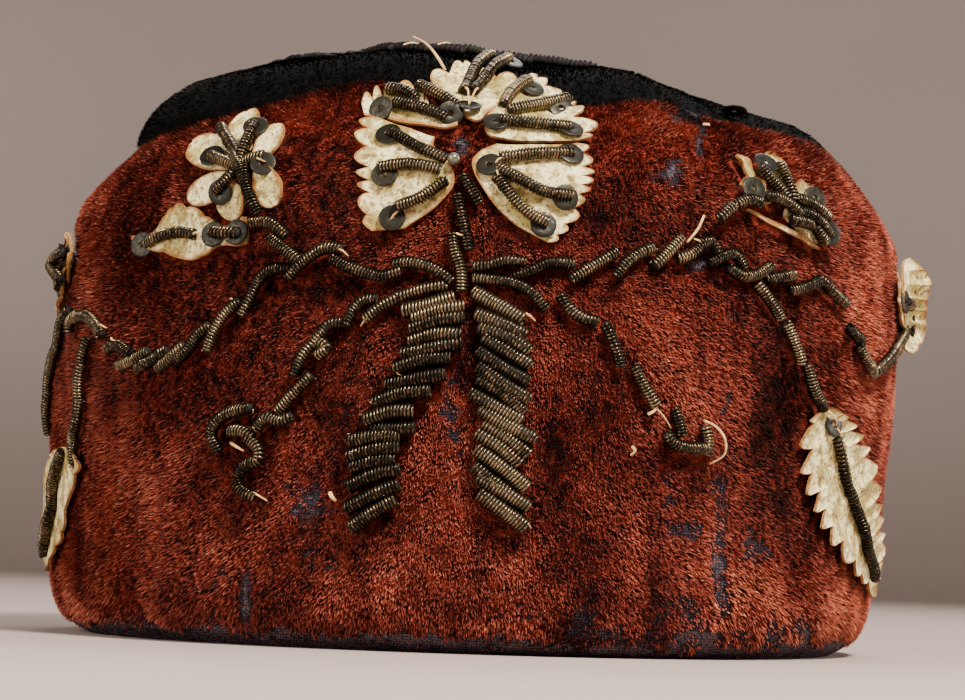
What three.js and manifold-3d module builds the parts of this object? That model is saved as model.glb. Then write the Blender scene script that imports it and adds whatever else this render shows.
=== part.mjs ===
// A soft smoking cap: a hollow side of pile velvet with its hem turned under, a domed velvet crown,
// and embroidery of kid leather shapes, laid metal purls and spangles.
// Millimetres, +Z up, the wearer's front towards -Y, standing on its hem at z = 0.

import * as THREE from 'three';
import { mergeVertices } from 'three/addons/utils/BufferGeometryUtils.js';
import Module from 'manifold-3d';

// Driving dimensions of the cap
const capWidth = 187;
const capDepth = 212;
const seamHeight = 109;
const crownRise = 25;
const capLean = 1;
const sideWall = 2.6;
const crownWall = 2;
const hemWidth = 3.4;
const seamGap = 0.4;
const seamSink = 0.3;

// Driving dimensions of the embroidery
const layGap = 0.35;
const metalGap = 0.5;
const kidThick = 1;
const purlWidth = 2.7;
const tailPurlWidth = 3.1;
const spangleWidth = 5.2;
const spangleThick = 0.9;
const leftTailPurls = 16;
const rightTailPurls = 15;
const wreathPurls = 12;
const backVinePurls = 12;

// Fineness of the facets
const turnSteps = 46;
const purlSides = 5;
const chainSides = 6;
const purlStep = 12;
const rayStep = 6.5;
const spangleSides = 6;

// Colours and finishes
const velvetRust = { color: 0x7a2a1c, roughness: 0.95, metalness: 0 };
const velvetBlack = { color: 0x17181a, roughness: 0.95, metalness: 0 };
const kidCream = { color: 0xd3c79f, roughness: 0.7, metalness: 0 };
const oldMetal = { color: 0x4a4335, roughness: 0.45, metalness: 0.85 };

// A place on the cap is a turn, in degrees from the middle of the front towards +X, and a rise:
// 0 at the hem, 1 at the seam and 2 at the middle of the crown.

// The side, as shares of the cloth's way up, of seamHeight, and of half the width and half the depth
const sideProfile = [
  { rise: 0, height: 0, reach: 0.875 },
  { rise: 0.05, height: 0.022, reach: 0.93 },
  { rise: 0.11, height: 0.075, reach: 0.965 },
  { rise: 0.2, height: 0.18, reach: 0.978 },
  { rise: 0.34, height: 0.34, reach: 0.985 },
  { rise: 0.48, height: 0.5, reach: 0.995 },
  { rise: 0.6, height: 0.635, reach: 0.985 },
  { rise: 0.7, height: 0.74, reach: 0.972 },
  { rise: 0.79, height: 0.83, reach: 0.962 },
  { rise: 0.88, height: 0.91, reach: 0.915 },
  { rise: 0.95, height: 0.965, reach: 0.865 },
  { rise: 1, height: 1, reach: 0.82 },
];

// The crown, as shares of the way in from the seam and of crownRise
const crownProfile = [
  { rise: 1, height: 0 },
  { rise: 1.05, height: 0.15 },
  { rise: 1.12, height: 0.28 },
  { rise: 1.25, height: 0.46 },
  { rise: 1.42, height: 0.64 },
  { rise: 1.62, height: 0.82 },
  { rise: 1.82, height: 0.96 },
  { rise: 2, height: 1 },
];

// Dents and swells of the side: out is a share of half the width, wide is in degrees, tall in rise
const sideDents = [
  { turn: -86, rise: 0.68, wide: 30, tall: 0.16, out: -0.03 },
  { turn: -80, rise: 0.95, wide: 36, tall: 0.12, out: -0.026 },
  { turn: 88, rise: 0.72, wide: 34, tall: 0.16, out: 0.021 },
  { turn: 88, rise: 0.1, wide: 40, tall: 0.24, out: -0.015 },
  { turn: 22, rise: 0.9, wide: 8, tall: 0.1, out: 0.021 },
  { turn: 170, rise: 0.6, wide: 26, tall: 0.2, out: -0.012 },
];

// Dents and swells of the crown: up is a share of crownRise
const crownDents = [
  { turn: -90, rise: 1.36, wide: 50, tall: 0.25, up: 0.1 },
  { turn: 75, rise: 1.36, wide: 60, tall: 0.3, up: -0.24 },
];

// How the seam wanders up and down: up is a share of seamHeight
const seamWaves = [
  { turn: -16, wide: 12, up: 0.024 },
  { turn: 10, wide: 9, up: -0.016 },
  { turn: 26, wide: 8, up: 0.02 },
  { turn: 80, wide: 30, up: -0.009 },
  { turn: -80, wide: 30, up: -0.014 },
];

// Where the facets of the two velvet pieces lie
const sideRises = [0, 0.05, 0.12, 0.22, 0.34, 0.46, 0.57, 0.67, 0.75, 0.81, 0.865, 0.91, 0.955, 1];
const sideInnerRises = [1, 0.955, 0.89, 0.8, 0.66, 0.46, 0.22, 0.07];
const crownRises = [1, 1.05, 1.12, 1.22, 1.36, 1.53, 1.75, 2];
const crownInnerRises = [2, 1.72, 1.45, 1.24, 1.09, 1];

const wasm = await Module();
wasm.setup();

// Curves read from the tables

function readTable(table, column, rise) {
  const last = table.length - 1;
  const slopes = table.slice(1).map((row, i) => (row[column] - table[i][column]) / (row.rise - table[i].rise));
  const slopeAt = (i) => (i === 0 ? slopes[0] : i === last ? slopes[last - 1] : (slopes[i - 1] + slopes[i]) / 2);
  let i = 0;
  while (i < last - 1 && rise > table[i + 1].rise) {
    i += 1;
  }
  const span = table[i + 1].rise - table[i].rise;
  const t = (rise - table[i].rise) / span;
  const start = (2 * t ** 3 - 3 * t ** 2 + 1) * table[i][column];
  const end = (3 * t ** 2 - 2 * t ** 3) * table[i + 1][column];
  const leaving = (t ** 3 - 2 * t ** 2 + t) * span * slopeAt(i);
  const arriving = (t ** 3 - t ** 2) * span * slopeAt(i + 1);
  return start + end + leaving + arriving;
}

function swell(distance, width) {
  return Math.exp(-((distance / width) ** 2));
}

function turnApart(turn, other) {
  return ((((turn - other) % 360) + 540) % 360) - 180;
}

function sumOf(table, column, turn, rise) {
  return table.reduce((sum, row) => {
    const tall = row.tall === undefined ? 1 : swell(rise - row.rise, row.tall);
    return sum + row[column] * tall * swell(turnApart(turn, row.turn), row.wide);
  }, 0);
}

// The outer face of the velvet

function sideSkin(turn, rise) {
  const reach = readTable(sideProfile, 'reach', rise);
  const height = readTable(sideProfile, 'height', rise);
  const dent = sumOf(sideDents, 'out', turn, rise);
  const angle = THREE.MathUtils.degToRad(turn);
  const x = (capWidth / 2) * (reach + dent) * Math.sin(angle) + capLean * height;
  const y = -((capDepth / 2) * reach + (capWidth / 2) * dent) * Math.cos(angle);
  const z = seamHeight * (height + sumOf(seamWaves, 'up', turn, rise) * rise ** 3);
  return new THREE.Vector3(x, y, z);
}

function crownSkin(turn, rise) {
  const edge = sideSkin(turn, 1);
  const inward = rise - 1;
  const height = readTable(crownProfile, 'height', rise);
  const top = seamHeight + crownRise;
  const x = edge.x * (1 - inward) + capLean * inward;
  const y = edge.y * (1 - inward);
  const fade = 4 * inward * (1 - inward);
  const z = edge.z + (top - edge.z) * height + crownRise * fade * sumOf(crownDents, 'up', turn, rise);
  return new THREE.Vector3(x, y, z);
}

function skin(turn, rise) {
  return rise <= 1 ? sideSkin(turn, rise) : crownSkin(turn, rise);
}

function outward(turn, rise) {
  const nearMiddle = 1.97;
  if (rise > nearMiddle) {
    return new THREE.Vector3(0, 0, 1);
  }
  const degree = 1;
  const share = 0.006;
  const across = skin(turn + degree, rise).sub(skin(turn - degree, rise));
  const up = skin(turn, rise + share).sub(skin(turn, Math.max(rise - share, 0)));
  return across.cross(up).normalize();
}

function above(turn, rise, height) {
  return skin(turn, rise).addScaledVector(outward(turn, rise), height);
}

// Closed solids from rows of points

function closedGeometry(corners, faces) {
  const numbers = new Map();
  const positions = [];
  const numberOf = corners.map((corner) => {
    const key = corner.toArray().map((value) => Math.round(value * 1000)).join(' ');
    if (!numbers.has(key)) {
      numbers.set(key, numbers.size);
      positions.push(...corner.toArray());
    }
    return numbers.get(key);
  });
  const index = [];
  for (const face of faces) {
    const [a, b, c] = face.map((corner) => numberOf[corner]);
    if (a !== b && b !== c && c !== a) {
      index.push(a, b, c);
    }
  }
  const geometry = new THREE.BufferGeometry();
  geometry.setAttribute('position', new THREE.Float32BufferAttribute(positions, 3));
  geometry.setIndex(index);
  return geometry;
}

// Joins each section to the next. A closed sweep ends where it starts; an open one gets end faces.
function sweep(sections, closedSweep) {
  const count = sections[0].length;
  const faces = [];
  const quad = (a, b, c, d) => faces.push([a, b, c], [a, c, d]);
  const corner = (i, j) => (i % sections.length) * count + (j % count);
  const spans = closedSweep ? sections.length : sections.length - 1;
  for (let i = 0; i < spans; i += 1) {
    for (let j = 0; j < count; j += 1) {
      quad(corner(i, j), corner(i + 1, j), corner(i + 1, j + 1), corner(i, j + 1));
    }
  }
  if (!closedSweep) {
    const end = sections.length - 1;
    for (let j = 0; j < count / 2 - 1; j += 1) {
      const back = count - 1 - j;
      quad(corner(0, j), corner(0, j + 1), corner(0, back - 1), corner(0, back));
      quad(corner(end, back), corner(end, back - 1), corner(end, j + 1), corner(end, j));
    }
  }
  return closedGeometry(sections.flat(), faces);
}

function turnsRound() {
  return Array.from({ length: turnSteps }, (_, i) => (360 * i) / turnSteps);
}

// The velvet side: the outer face up from the hem, the rim at the seam, and the inner face down
function makeSide() {
  const sections = turnsRound().map((turn) => {
    const outer = sideRises.map((rise) => skin(turn, rise));
    const inner = sideInnerRises.map((rise) => above(turn, rise, -sideWall));
    const hem = outer[0].clone();
    hem.sub(new THREE.Vector3(Math.sin(THREE.MathUtils.degToRad(turn)), -Math.cos(THREE.MathUtils.degToRad(turn)), 0)
      .multiplyScalar(hemWidth));
    return [...outer, ...inner, hem];
  });
  return sweep(sections, true);
}

// The velvet crown: it starts just inside the rim of the side, a little lower than its face
function makeCrown() {
  const sections = turnsRound().map((turn) => {
    const seam = skin(turn, 1);
    const seamOut = outward(turn, 1);
    const inward = skin(turn, 1.01).sub(skin(turn, 0.99)).normalize();
    const edge = seam.clone().addScaledVector(inward, seamGap).addScaledVector(seamOut, -seamSink);
    const innerEdge = edge.clone().addScaledVector(seamOut, -crownWall);
    const outer = crownRises.slice(1).map((rise) => skin(turn, rise));
    const inner = crownInnerRises.slice(0, -1).map((rise) => above(turn, rise, -crownWall));
    return [edge, ...outer, ...inner, innerEdge];
  });
  return sweep(sections, true);
}

// Kid leather, cut thin and laid on the velvet

function kidSection(from, to, cells) {
  const shares = Array.from({ length: cells + 1 }, (_, j) => j / cells);
  const at = (share, height) => above(
    THREE.MathUtils.lerp(from.turn, to.turn, share),
    THREE.MathUtils.lerp(from.rise, to.rise, share),
    height,
  );
  const top = shares.map((share) => at(share, layGap + kidThick));
  const under = shares.map((share) => at(share, layGap)).reverse();
  return [...top, ...under];
}

// A kid shape between two edges. Each row gives a place on the first and on the second edge, and
// stations between the rows make the teeth: every other station is cut back by a share of its width.
function makeKid({ rows, stations, cells, firstBite = 0, secondBite = 0 }) {
  const first = new THREE.CatmullRomCurve3(rows.map(([turn, rise]) => new THREE.Vector3(turn / 100, rise, 0)));
  const second = new THREE.CatmullRomCurve3(rows.map(([, , turn, rise]) => new THREE.Vector3(turn / 100, rise, 0)));
  const sections = Array.from({ length: stations + 1 }, (_, i) => {
    const a = first.getPoint(i / stations);
    const b = second.getPoint(i / stations);
    const cut = i % 2 === 1 ? 1 : 0;
    const start = a.clone().lerp(b, cut * firstBite);
    const end = b.clone().lerp(a, cut * secondBite);
    return kidSection({ turn: start.x * 100, rise: start.y }, { turn: end.x * 100, rise: end.y }, cells);
  });
  return sweep(sections, false);
}

// A kid rosette round a middle: its lobes reach the given degrees across and rise up and down
function makeRosette({ turn, rise, across, tall, lobes, start = 0, notch = 0.45 }) {
  const sectors = lobes * 4;
  const rings = [0.5, 1];
  const sections = Array.from({ length: sectors }, (_, i) => {
    const angle = (2 * Math.PI * i) / sectors + THREE.MathUtils.degToRad(start);
    const petal = Math.abs(Math.cos((lobes / 2) * (angle - THREE.MathUtils.degToRad(start))));
    const reach = notch + (1 - notch) * Math.sqrt(petal);
    const place = (share, height) => above(
      turn + across * reach * share * Math.cos(angle),
      rise + tall * reach * share * Math.sin(angle),
      height,
    );
    const middleTop = above(turn, rise, layGap + kidThick);
    const middleUnder = above(turn, rise, layGap);
    const top = rings.map((share) => place(share, layGap + kidThick));
    const under = rings.map((share) => place(share, layGap)).reverse();
    return [middleTop, ...top, ...under, middleUnder];
  });
  return sweep(sections.reverse(), true);
}

// Purls and spangles

function toManifold(geometry) {
  const bare = geometry.index ? geometry.clone() : geometry;
  bare.deleteAttribute('normal');
  bare.deleteAttribute('uv');
  const merged = mergeVertices(bare, 1e-4);
  return new wasm.Manifold(new wasm.Mesh({
    numProp: 3,
    vertProperties: merged.attributes.position.array,
    triVerts: Uint32Array.from(merged.index.array),
  }));
}

function fuse(geometries) {
  const whole = geometries.map(toManifold).reduce((sum, solid) => sum.add(solid));
  const mesh = whole.getMesh();
  const geometry = new THREE.BufferGeometry();
  geometry.setAttribute('position', new THREE.BufferAttribute(mesh.vertProperties, 3));
  geometry.setIndex(new THREE.BufferAttribute(mesh.triVerts, 1));
  return geometry;
}

function roundSection(width, sides) {
  const corners = Array.from({ length: sides }, (_, i) => {
    const angle = (2 * Math.PI * i) / sides;
    return new THREE.Vector2(Math.cos(angle), Math.sin(angle)).multiplyScalar(width / 2);
  });
  return new THREE.Shape(corners);
}

// One length of purl between two places, its middle at a height over the velvet
function makePurl(from, to, height) {
  const length = skin(...from).distanceTo(skin(...to));
  const steps = Math.max(1, Math.round(length / rayStep));
  const points = Array.from({ length: steps + 1 }, (_, i) => above(
    THREE.MathUtils.lerp(from[0], to[0], i / steps),
    THREE.MathUtils.lerp(from[1], to[1], i / steps),
    height,
  ));
  return new THREE.ExtrudeGeometry(roundSection(purlWidth, purlSides), {
    steps,
    extrudePath: new THREE.CatmullRomCurve3(points),
    bevelEnabled: false,
  });
}

function makeSpangle(turn, rise, base) {
  const disc = new THREE.CylinderGeometry(spangleWidth / 2, spangleWidth / 2, spangleThick, spangleSides);
  const upright = new THREE.Vector3(0, 1, 0);
  const tilt = new THREE.Quaternion().setFromUnitVectors(upright, outward(turn, rise));
  const middle = above(turn, rise, base + spangleThick / 2);
  return disc.applyMatrix4(new THREE.Matrix4().compose(middle, tilt, new THREE.Vector3(1, 1, 1)));
}

const onVelvet = layGap + purlWidth / 2;
const onKid = layGap + kidThick + metalGap;

// A chain of purls laid end to end like stem stitch: each starts a little to one side of the line
// and ends a little to the other, and the chain necks where one purl meets the next
function makeChain(places, height = onVelvet, closedLoop = false) {
  const slant = 0.22 * purlWidth;
  const reach = 0.12;
  const sections = [];
  places.slice(1).forEach((to, i) => {
    const from = places[i];
    const along = skin(...to).sub(skin(...from));
    const steps = Math.max(1, Math.round(along.length() / purlStep));
    along.normalize();
    for (let step = 0; step <= steps; step += 1) {
      const share = THREE.MathUtils.lerp(reach, 1 - reach, step / steps);
      const turn = THREE.MathUtils.lerp(from[0], to[0], share);
      const rise = THREE.MathUtils.lerp(from[1], to[1], share);
      const out = outward(turn, rise);
      const sideways = along.clone().cross(out).normalize();
      const middle = above(turn, rise, height).addScaledVector(sideways, slant * (1 - (2 * step) / steps));
      sections.push(purlRing(middle, sideways, out));
    }
  });
  return sweep(sections, closedLoop);
}

// The corners round one purl, in pairs either side of its top and its underside
function purlRing(middle, sideways, out) {
  return Array.from({ length: chainSides }, (_, i) => {
    const angle = (2 * Math.PI * (i + 0.5)) / chainSides;
    return middle.clone()
      .addScaledVector(sideways, (purlWidth / 2) * Math.cos(angle))
      .addScaledVector(out, (purlWidth / 2) * Math.sin(angle));
  });
}

// Purls on kid that spread from a root, each with a spangle past its tip
function makeRays({ root, tips }) {
  const height = onKid + purlWidth / 2;
  const purls = tips.map((tip) => makePurl(root, tip, height));
  const spangles = tips.map(([turn, rise]) => makeSpangle(turn, rise, onKid));
  return fuse([...purls, ...spangles]);
}

// A run of purls laid side by side like satin stitch: ribs joined by a thin pad under them
function makeTail({ rows, count }) {
  const first = new THREE.CatmullRomCurve3(rows.map(([turn, rise]) => new THREE.Vector3(turn / 100, rise, 0)));
  const second = new THREE.CatmullRomCurve3(rows.map(([, , turn, rise]) => new THREE.Vector3(turn / 100, rise, 0)));
  const ribShape = [[0.04, 0.25], [0.3, 1], [0.7, 1]];
  const ribs = Array.from({ length: count }, (_, i) => ribShape.map(([share, lift]) => [i + share, lift]));
  const outline = [...ribs.flat(), [count - 0.04, 0.25]];
  const sections = [0, 1].map((across) => {
    const at = (share, lift) => {
      const a = first.getPoint(share / count);
      const place = a.lerp(second.getPoint(share / count), across);
      return above(place.x * 100, place.y, lift);
    };
    const top = outline.map(([share, lift]) => at(share, layGap + tailPurlWidth * lift));
    const under = outline.map(([share]) => at(share, layGap)).reverse();
    return [...top, ...under];
  });
  return sweep(sections.reverse(), false);
}

// The centre flower: the rows of a petal run clockwise, and each gives a place on its inner edge
// (turn, rise) and one on its toothed outer edge (turn, rise)
const centrePetals = {
  petal_lower_left: {
    rows: [
      [-2.8, 0.776, -11.4, 0.678],
      [-2.2, 0.795, -14, 0.735],
      [-4, 0.814, -15, 0.79],
      [-5.2, 0.84, -16, 0.845],
      [-5.8, 0.866, -15.4, 0.885],
    ],
    rays: { root: [-4.4, 0.8], tips: [[-11.2, 0.85], [-11.6, 0.785], [-9.6, 0.718]] },
  },
  petal_upper_left: {
    rows: [
      [-4.4, 0.885, -15.4, 0.902],
      [-3.6, 0.892, -16.6, 0.935],
      [-3.6, 0.899, -14.5, 0.962],
      [-4, 0.907, -10.5, 0.973],
      [-4.6, 0.914, -7.8, 0.965],
    ],
    rays: { root: [-5.2, 0.9], tips: [[-12.4, 0.935], [-9.4, 0.955]] },
  },
  petal_top: {
    rows: [
      [-4, 0.935, -8.2, 1.015],
      [-3.2, 0.924, -6, 1.04],
      [-2.4, 0.914, -3, 1.085],
      [-1.4, 0.909, -0.8, 0.985],
      [-0.8, 0.913, 1.8, 1.045],
      [-0.2, 0.922, 4.4, 1.05],
    ],
    rays: { root: [-1.6, 0.935], tips: [[-3, 1.06], [2.6, 1.02]] },
  },
  petal_upper_right: {
    rows: [
      [2, 0.93, 6.4, 1.03],
      [1.2, 0.918, 8.8, 1.09],
      [0.8, 0.907, 11.8, 1.07],
      [0.8, 0.897, 13.9, 1.02],
      [1, 0.887, 14.6, 0.965],
      [1.4, 0.877, 14.9, 0.922],
    ],
    rays: { root: [2.8, 0.905], tips: [[6.4, 0.985], [10.8, 0.98], [11.4, 0.935]] },
  },
  petal_lower_right: {
    rows: [
      [0.4, 0.842, 12.8, 0.892],
      [-0.2, 0.833, 14.4, 0.85],
      [-0.6, 0.823, 13.3, 0.795],
      [-0.6, 0.809, 11.2, 0.735],
      [-0.2, 0.796, 8.6, 0.69],
      [0.4, 0.783, 5.6, 0.696],
    ],
    rays: { root: [2, 0.812], tips: [[11.2, 0.862], [10.2, 0.776], [7.6, 0.722]] },
  },
};

// Lengths of purl laid end to end, from place to place (turn, rise)
const purlChains = {
  stem_purl: [[-1.6, 0.748], [-0.6, 0.7], [-2.6, 0.655], [-1.2, 0.612]],
  left_vine_purl: [
    [-3.4, 0.622], [-8, 0.637], [-12.9, 0.612], [-17, 0.636], [-19.5, 0.65], [-22.6, 0.606], [-26, 0.612],
    [-28.8, 0.547], [-33.4, 0.5], [-37.4, 0.477], [-43.5, 0.479], [-48.6, 0.489], [-52, 0.528], [-57.5, 0.565],
  ],
  left_side_strand_purl: [[-59.5, 0.535], [-57.6, 0.48], [-60.5, 0.42], [-61, 0.37]],
  left_tendril_purl: [
    [-8.6, 0.594], [-12, 0.54], [-15, 0.552], [-18, 0.52], [-17.4, 0.488], [-21, 0.459], [-23.2, 0.404],
    [-26.4, 0.38], [-29.4, 0.404], [-31.8, 0.368], [-30, 0.334], [-28.2, 0.304], [-25.6, 0.273],
  ],
  right_vine_purl: [
    [0.4, 0.626], [4, 0.646], [10.5, 0.652], [16.5, 0.67], [21.4, 0.68], [26, 0.696], [30.4, 0.688],
    [34.4, 0.672], [38.6, 0.671], [43.6, 0.661], [48.6, 0.655], [53.1, 0.615], [57.2, 0.55], [61.8, 0.51],
    [66, 0.53], [70, 0.59],
  ],
  right_tendril_purl: [
    [6.8, 0.592], [9.4, 0.575], [12.4, 0.568], [15, 0.54], [17.5, 0.492], [21.9, 0.431], [24.4, 0.385],
    [29.9, 0.364],
  ],
  right_leaf_stalk_purl: [[37.6, 0.635], [40.8, 0.576], [43.4, 0.512], [46.8, 0.478]],
};

// The two hanging tails: each row gives the left end and the right end of a purl (turn, rise)
const leftTail = [
  [-7.6, 0.556, -2, 0.578],
  [-7.8, 0.495, -1.8, 0.51],
  [-10.6, 0.428, -4.4, 0.44],
  [-13, 0.35, -7.4, 0.36],
  [-13.6, 0.232, -8.1, 0.27],
];
const rightTail = [
  [0.4, 0.588, 5.6, 0.55],
  [0.8, 0.44, 6.5, 0.396],
  [1.5, 0.286, 7, 0.242],
];

// Kid leaves: rows from one end to the other, each with a place on either edge (turn, rise). Some have
// a spangle where the midrib of purl starts.
const kidLeaves = {
  left_leaf: {
    rows: [
      [-49.8, 0.697, -49.8, 0.703],
      [-44.5, 0.682, -44.5, 0.724],
      [-40.5, 0.66, -39.5, 0.746],
      [-36.5, 0.652, -35.5, 0.731],
      [-32.5, 0.663, -31.5, 0.712],
      [-29.4, 0.682, -29.4, 0.71],
    ],
    midrib: [[-31.6, 0.69], [-36.8, 0.695], [-45.6, 0.705]],
    spangled: true,
  },
  right_leaf: {
    rows: [
      [74.5, 0.152, 73, 0.15],
      [73.5, 0.19, 58, 0.198],
      [71.5, 0.24, 51, 0.245],
      [68, 0.305, 47, 0.3],
      [63, 0.375, 44.6, 0.365],
      [56, 0.425, 44.8, 0.42],
      [49.8, 0.45, 47.8, 0.45],
    ],
    midrib: [[50.6, 0.425], [54.4, 0.34], [59.4, 0.265], [68.5, 0.185]],
    spangled: true,
  },
  left_side_leaf: {
    rows: [
      [-75, 0.148, -76.4, 0.15],
      [-69, 0.172, -79, 0.178],
      [-63.6, 0.222, -81, 0.228],
      [-60.6, 0.277, -80, 0.285],
      [-57.8, 0.325, -74, 0.335],
      [-62, 0.352, -65, 0.354],
    ],
    midrib: [[-66, 0.33], [-70.5, 0.26], [-74, 0.19]],
    spangled: false,
  },
  back_leaf_left: {
    rows: [
      [202, 0.44, 202, 0.446],
      [208, 0.445, 204, 0.49],
      [214, 0.465, 210, 0.53],
      [219, 0.495, 217, 0.54],
      [224, 0.51, 224, 0.514],
    ],
    midrib: [[219, 0.508], [208, 0.47]],
    spangled: false,
  },
  back_leaf_right: {
    rows: [
      [136, 0.51, 136, 0.514],
      [141, 0.495, 143, 0.54],
      [146, 0.465, 150, 0.53],
      [152, 0.445, 156, 0.49],
      [158, 0.44, 158, 0.446],
    ],
    midrib: [[152, 0.47], [141, 0.508]],
    spangled: false,
  },
};

// Kid rosettes, and the tips of the purls that spread from a place on each
const rosettes = {
  left_flower: {
    shape: { turn: -32.2, rise: 0.83, across: 8.6, tall: 0.098, lobes: 6, start: 30 },
    rays: { root: [-31, 0.806], tips: [[-31.6, 0.88], [-36.2, 0.876], [-36.4, 0.806], [-31.6, 0.77]] },
  },
  right_flower: {
    shape: { turn: 42, rise: 0.805, across: 8.8, tall: 0.088, lobes: 6, start: 10 },
    rays: { root: [41.4, 0.806], tips: [[37.6, 0.85], [46.6, 0.76], [47.4, 0.8]] },
  },
  left_side_flower: {
    shape: { turn: -81, rise: 0.66, across: 12, tall: 0.085, lobes: 5, start: 0 },
    rays: { root: [-81, 0.66], tips: [[-75, 0.66]] },
  },
  right_side_flower: {
    shape: { turn: 85, rise: 0.665, across: 11, tall: 0.085, lobes: 5, start: 180 },
    rays: { root: [85, 0.665], tips: [[82, 0.61]] },
  },
  back_flower: {
    shape: { turn: 180, rise: 0.76, across: 11, tall: 0.11, lobes: 6, start: 30 },
    rays: { root: [180, 0.74], tips: [[180, 0.8]] },
  },
};

// A run of purl round the crown in shallow scallops
function wreathPlaces() {
  const middle = 1.3;
  const scallop = 0.035;
  return Array.from({ length: wreathPurls + 1 }, (_, i) => {
    const turn = -20 + (360 * i) / wreathPurls;
    return [turn, middle + (i % 2 === 0 ? -scallop : scallop)];
  });
}

// The vine across the back, in shallow waves between the two sides
function backVinePlaces() {
  const from = 97;
  const to = 263;
  const middle = 0.63;
  const wave = 0.028;
  return Array.from({ length: backVinePurls + 1 }, (_, i) => {
    const share = i / backVinePurls;
    return [THREE.MathUtils.lerp(from, to, share), middle - wave * Math.cos(8 * Math.PI * share)];
  });
}

// The assembly

const cap = new THREE.Group();

function addPiece(name, geometry, finish) {
  const mesh = new THREE.Mesh(geometry, new THREE.MeshStandardMaterial(finish));
  mesh.name = name;
  cap.add(mesh);
}

addPiece('side_band', makeSide(), velvetRust);
addPiece('crown', makeCrown(), velvetBlack);

for (const [name, petal] of Object.entries(centrePetals)) {
  addPiece(name, makeKid({ rows: petal.rows, stations: 10, cells: 3, secondBite: 0.1 }), kidCream);
  addPiece(`${name}_purl`, makeRays(petal.rays), oldMetal);
}

for (const [name, places] of Object.entries(purlChains)) {
  addPiece(name, makeChain(places), oldMetal);
}
addPiece('crown_purl', makeChain(wreathPlaces(), onVelvet, true), oldMetal);
addPiece('back_vine_purl', makeChain(backVinePlaces()), oldMetal);

addPiece('left_tail_purl', makeTail({ rows: leftTail, count: leftTailPurls }), oldMetal);
addPiece('right_tail_purl', makeTail({ rows: rightTail, count: rightTailPurls }), oldMetal);

for (const [name, leaf] of Object.entries(kidLeaves)) {
  const stations = 2 * leaf.rows.length;
  addPiece(name, makeKid({ rows: leaf.rows, stations, cells: 3, firstBite: 0.08, secondBite: 0.08 }), kidCream);
  const midrib = makeChain(leaf.midrib, onKid + purlWidth / 2);
  const spangle = makeSpangle(...leaf.midrib[0], onKid);
  addPiece(`${name}_purl`, leaf.spangled ? fuse([midrib, spangle]) : midrib, oldMetal);
}

for (const [name, rosette] of Object.entries(rosettes)) {
  addPiece(name, makeRosette(rosette.shape), kidCream);
  addPiece(`${name}_purl`, makeRays(rosette.rays), oldMetal);
}

// The origin is under the middle of the cap
const extent = new THREE.Box3().setFromObject(cap);
cap.position.x = -(extent.min.x + extent.max.x) / 2;
cap.position.y = -(extent.min.y + extent.max.y) / 2;

export default cap;
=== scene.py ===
# %% [markdown]
# A soft smoking cap with laid metal embroidery, dressed in Blender.
#
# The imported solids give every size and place. This lesson keeps them as a fixed frame, and builds over them
# the things that make the real cap look like cloth: a worn pile, coiled metal wire, and thin cut leather.

import math

import bpy
import numpy as np
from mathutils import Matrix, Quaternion, Vector


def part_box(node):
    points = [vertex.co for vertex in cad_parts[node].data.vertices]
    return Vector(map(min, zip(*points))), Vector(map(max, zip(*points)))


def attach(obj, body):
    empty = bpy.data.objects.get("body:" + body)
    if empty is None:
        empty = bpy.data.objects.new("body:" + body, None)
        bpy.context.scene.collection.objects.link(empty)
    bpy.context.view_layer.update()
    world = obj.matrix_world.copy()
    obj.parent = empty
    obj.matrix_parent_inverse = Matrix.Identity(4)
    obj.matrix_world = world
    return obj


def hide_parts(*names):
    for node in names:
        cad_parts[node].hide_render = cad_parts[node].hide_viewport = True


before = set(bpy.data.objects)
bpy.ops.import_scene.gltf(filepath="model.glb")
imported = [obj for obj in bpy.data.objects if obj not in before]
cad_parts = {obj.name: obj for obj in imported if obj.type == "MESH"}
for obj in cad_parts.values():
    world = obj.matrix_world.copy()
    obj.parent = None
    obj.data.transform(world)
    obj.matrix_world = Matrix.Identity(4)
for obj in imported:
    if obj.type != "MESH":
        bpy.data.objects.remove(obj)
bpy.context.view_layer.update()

# %% [markdown]
# The cap is one soft form, so one function can describe it: a place is a turn in degrees from the middle of
# the front, and a rise that is 0 at the hem, 1 at the seam and 2 at the middle of the crown. It could also
# be modelled by hand and snapped to, but a function lets every purl, leaf and tuft of pile find the cloth
# exactly. Lengths are in metres here, and the tables hold shares of them.

# %% The form of the cap
MM = 0.001
CAP_WIDTH = 187 * MM
CAP_DEPTH = 212 * MM
SEAM_HEIGHT = 109 * MM
CROWN_RISE = 25 * MM
CAP_LEAN = 1 * MM
SIDE_WALL = 2.6 * MM
CROWN_WALL = 2 * MM
HEM_WIDTH = 3.4 * MM

# rise, height share, reach share
SIDE_PROFILE = np.array([
    (0.00, 0.000, 0.875), (0.05, 0.022, 0.930), (0.11, 0.075, 0.965), (0.20, 0.180, 0.978),
    (0.34, 0.340, 0.985), (0.48, 0.500, 0.995), (0.60, 0.635, 0.985), (0.70, 0.740, 0.972),
    (0.79, 0.830, 0.962), (0.88, 0.910, 0.915), (0.95, 0.965, 0.865), (1.00, 1.000, 0.820),
])
# rise, height share
CROWN_PROFILE = np.array([
    (1.00, 0.00), (1.05, 0.15), (1.12, 0.28), (1.25, 0.46), (1.42, 0.64), (1.62, 0.82), (1.82, 0.96),
    (2.00, 1.00),
])
# turn, rise, wide, tall, share of the half width outward
SIDE_DENTS = [
    (-86, 0.68, 30, 0.16, -0.030), (-80, 0.95, 36, 0.12, -0.026), (88, 0.72, 34, 0.16, 0.021),
    (88, 0.10, 40, 0.24, -0.015), (22, 0.90, 8, 0.10, 0.021), (170, 0.60, 26, 0.20, -0.012),
]
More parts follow.
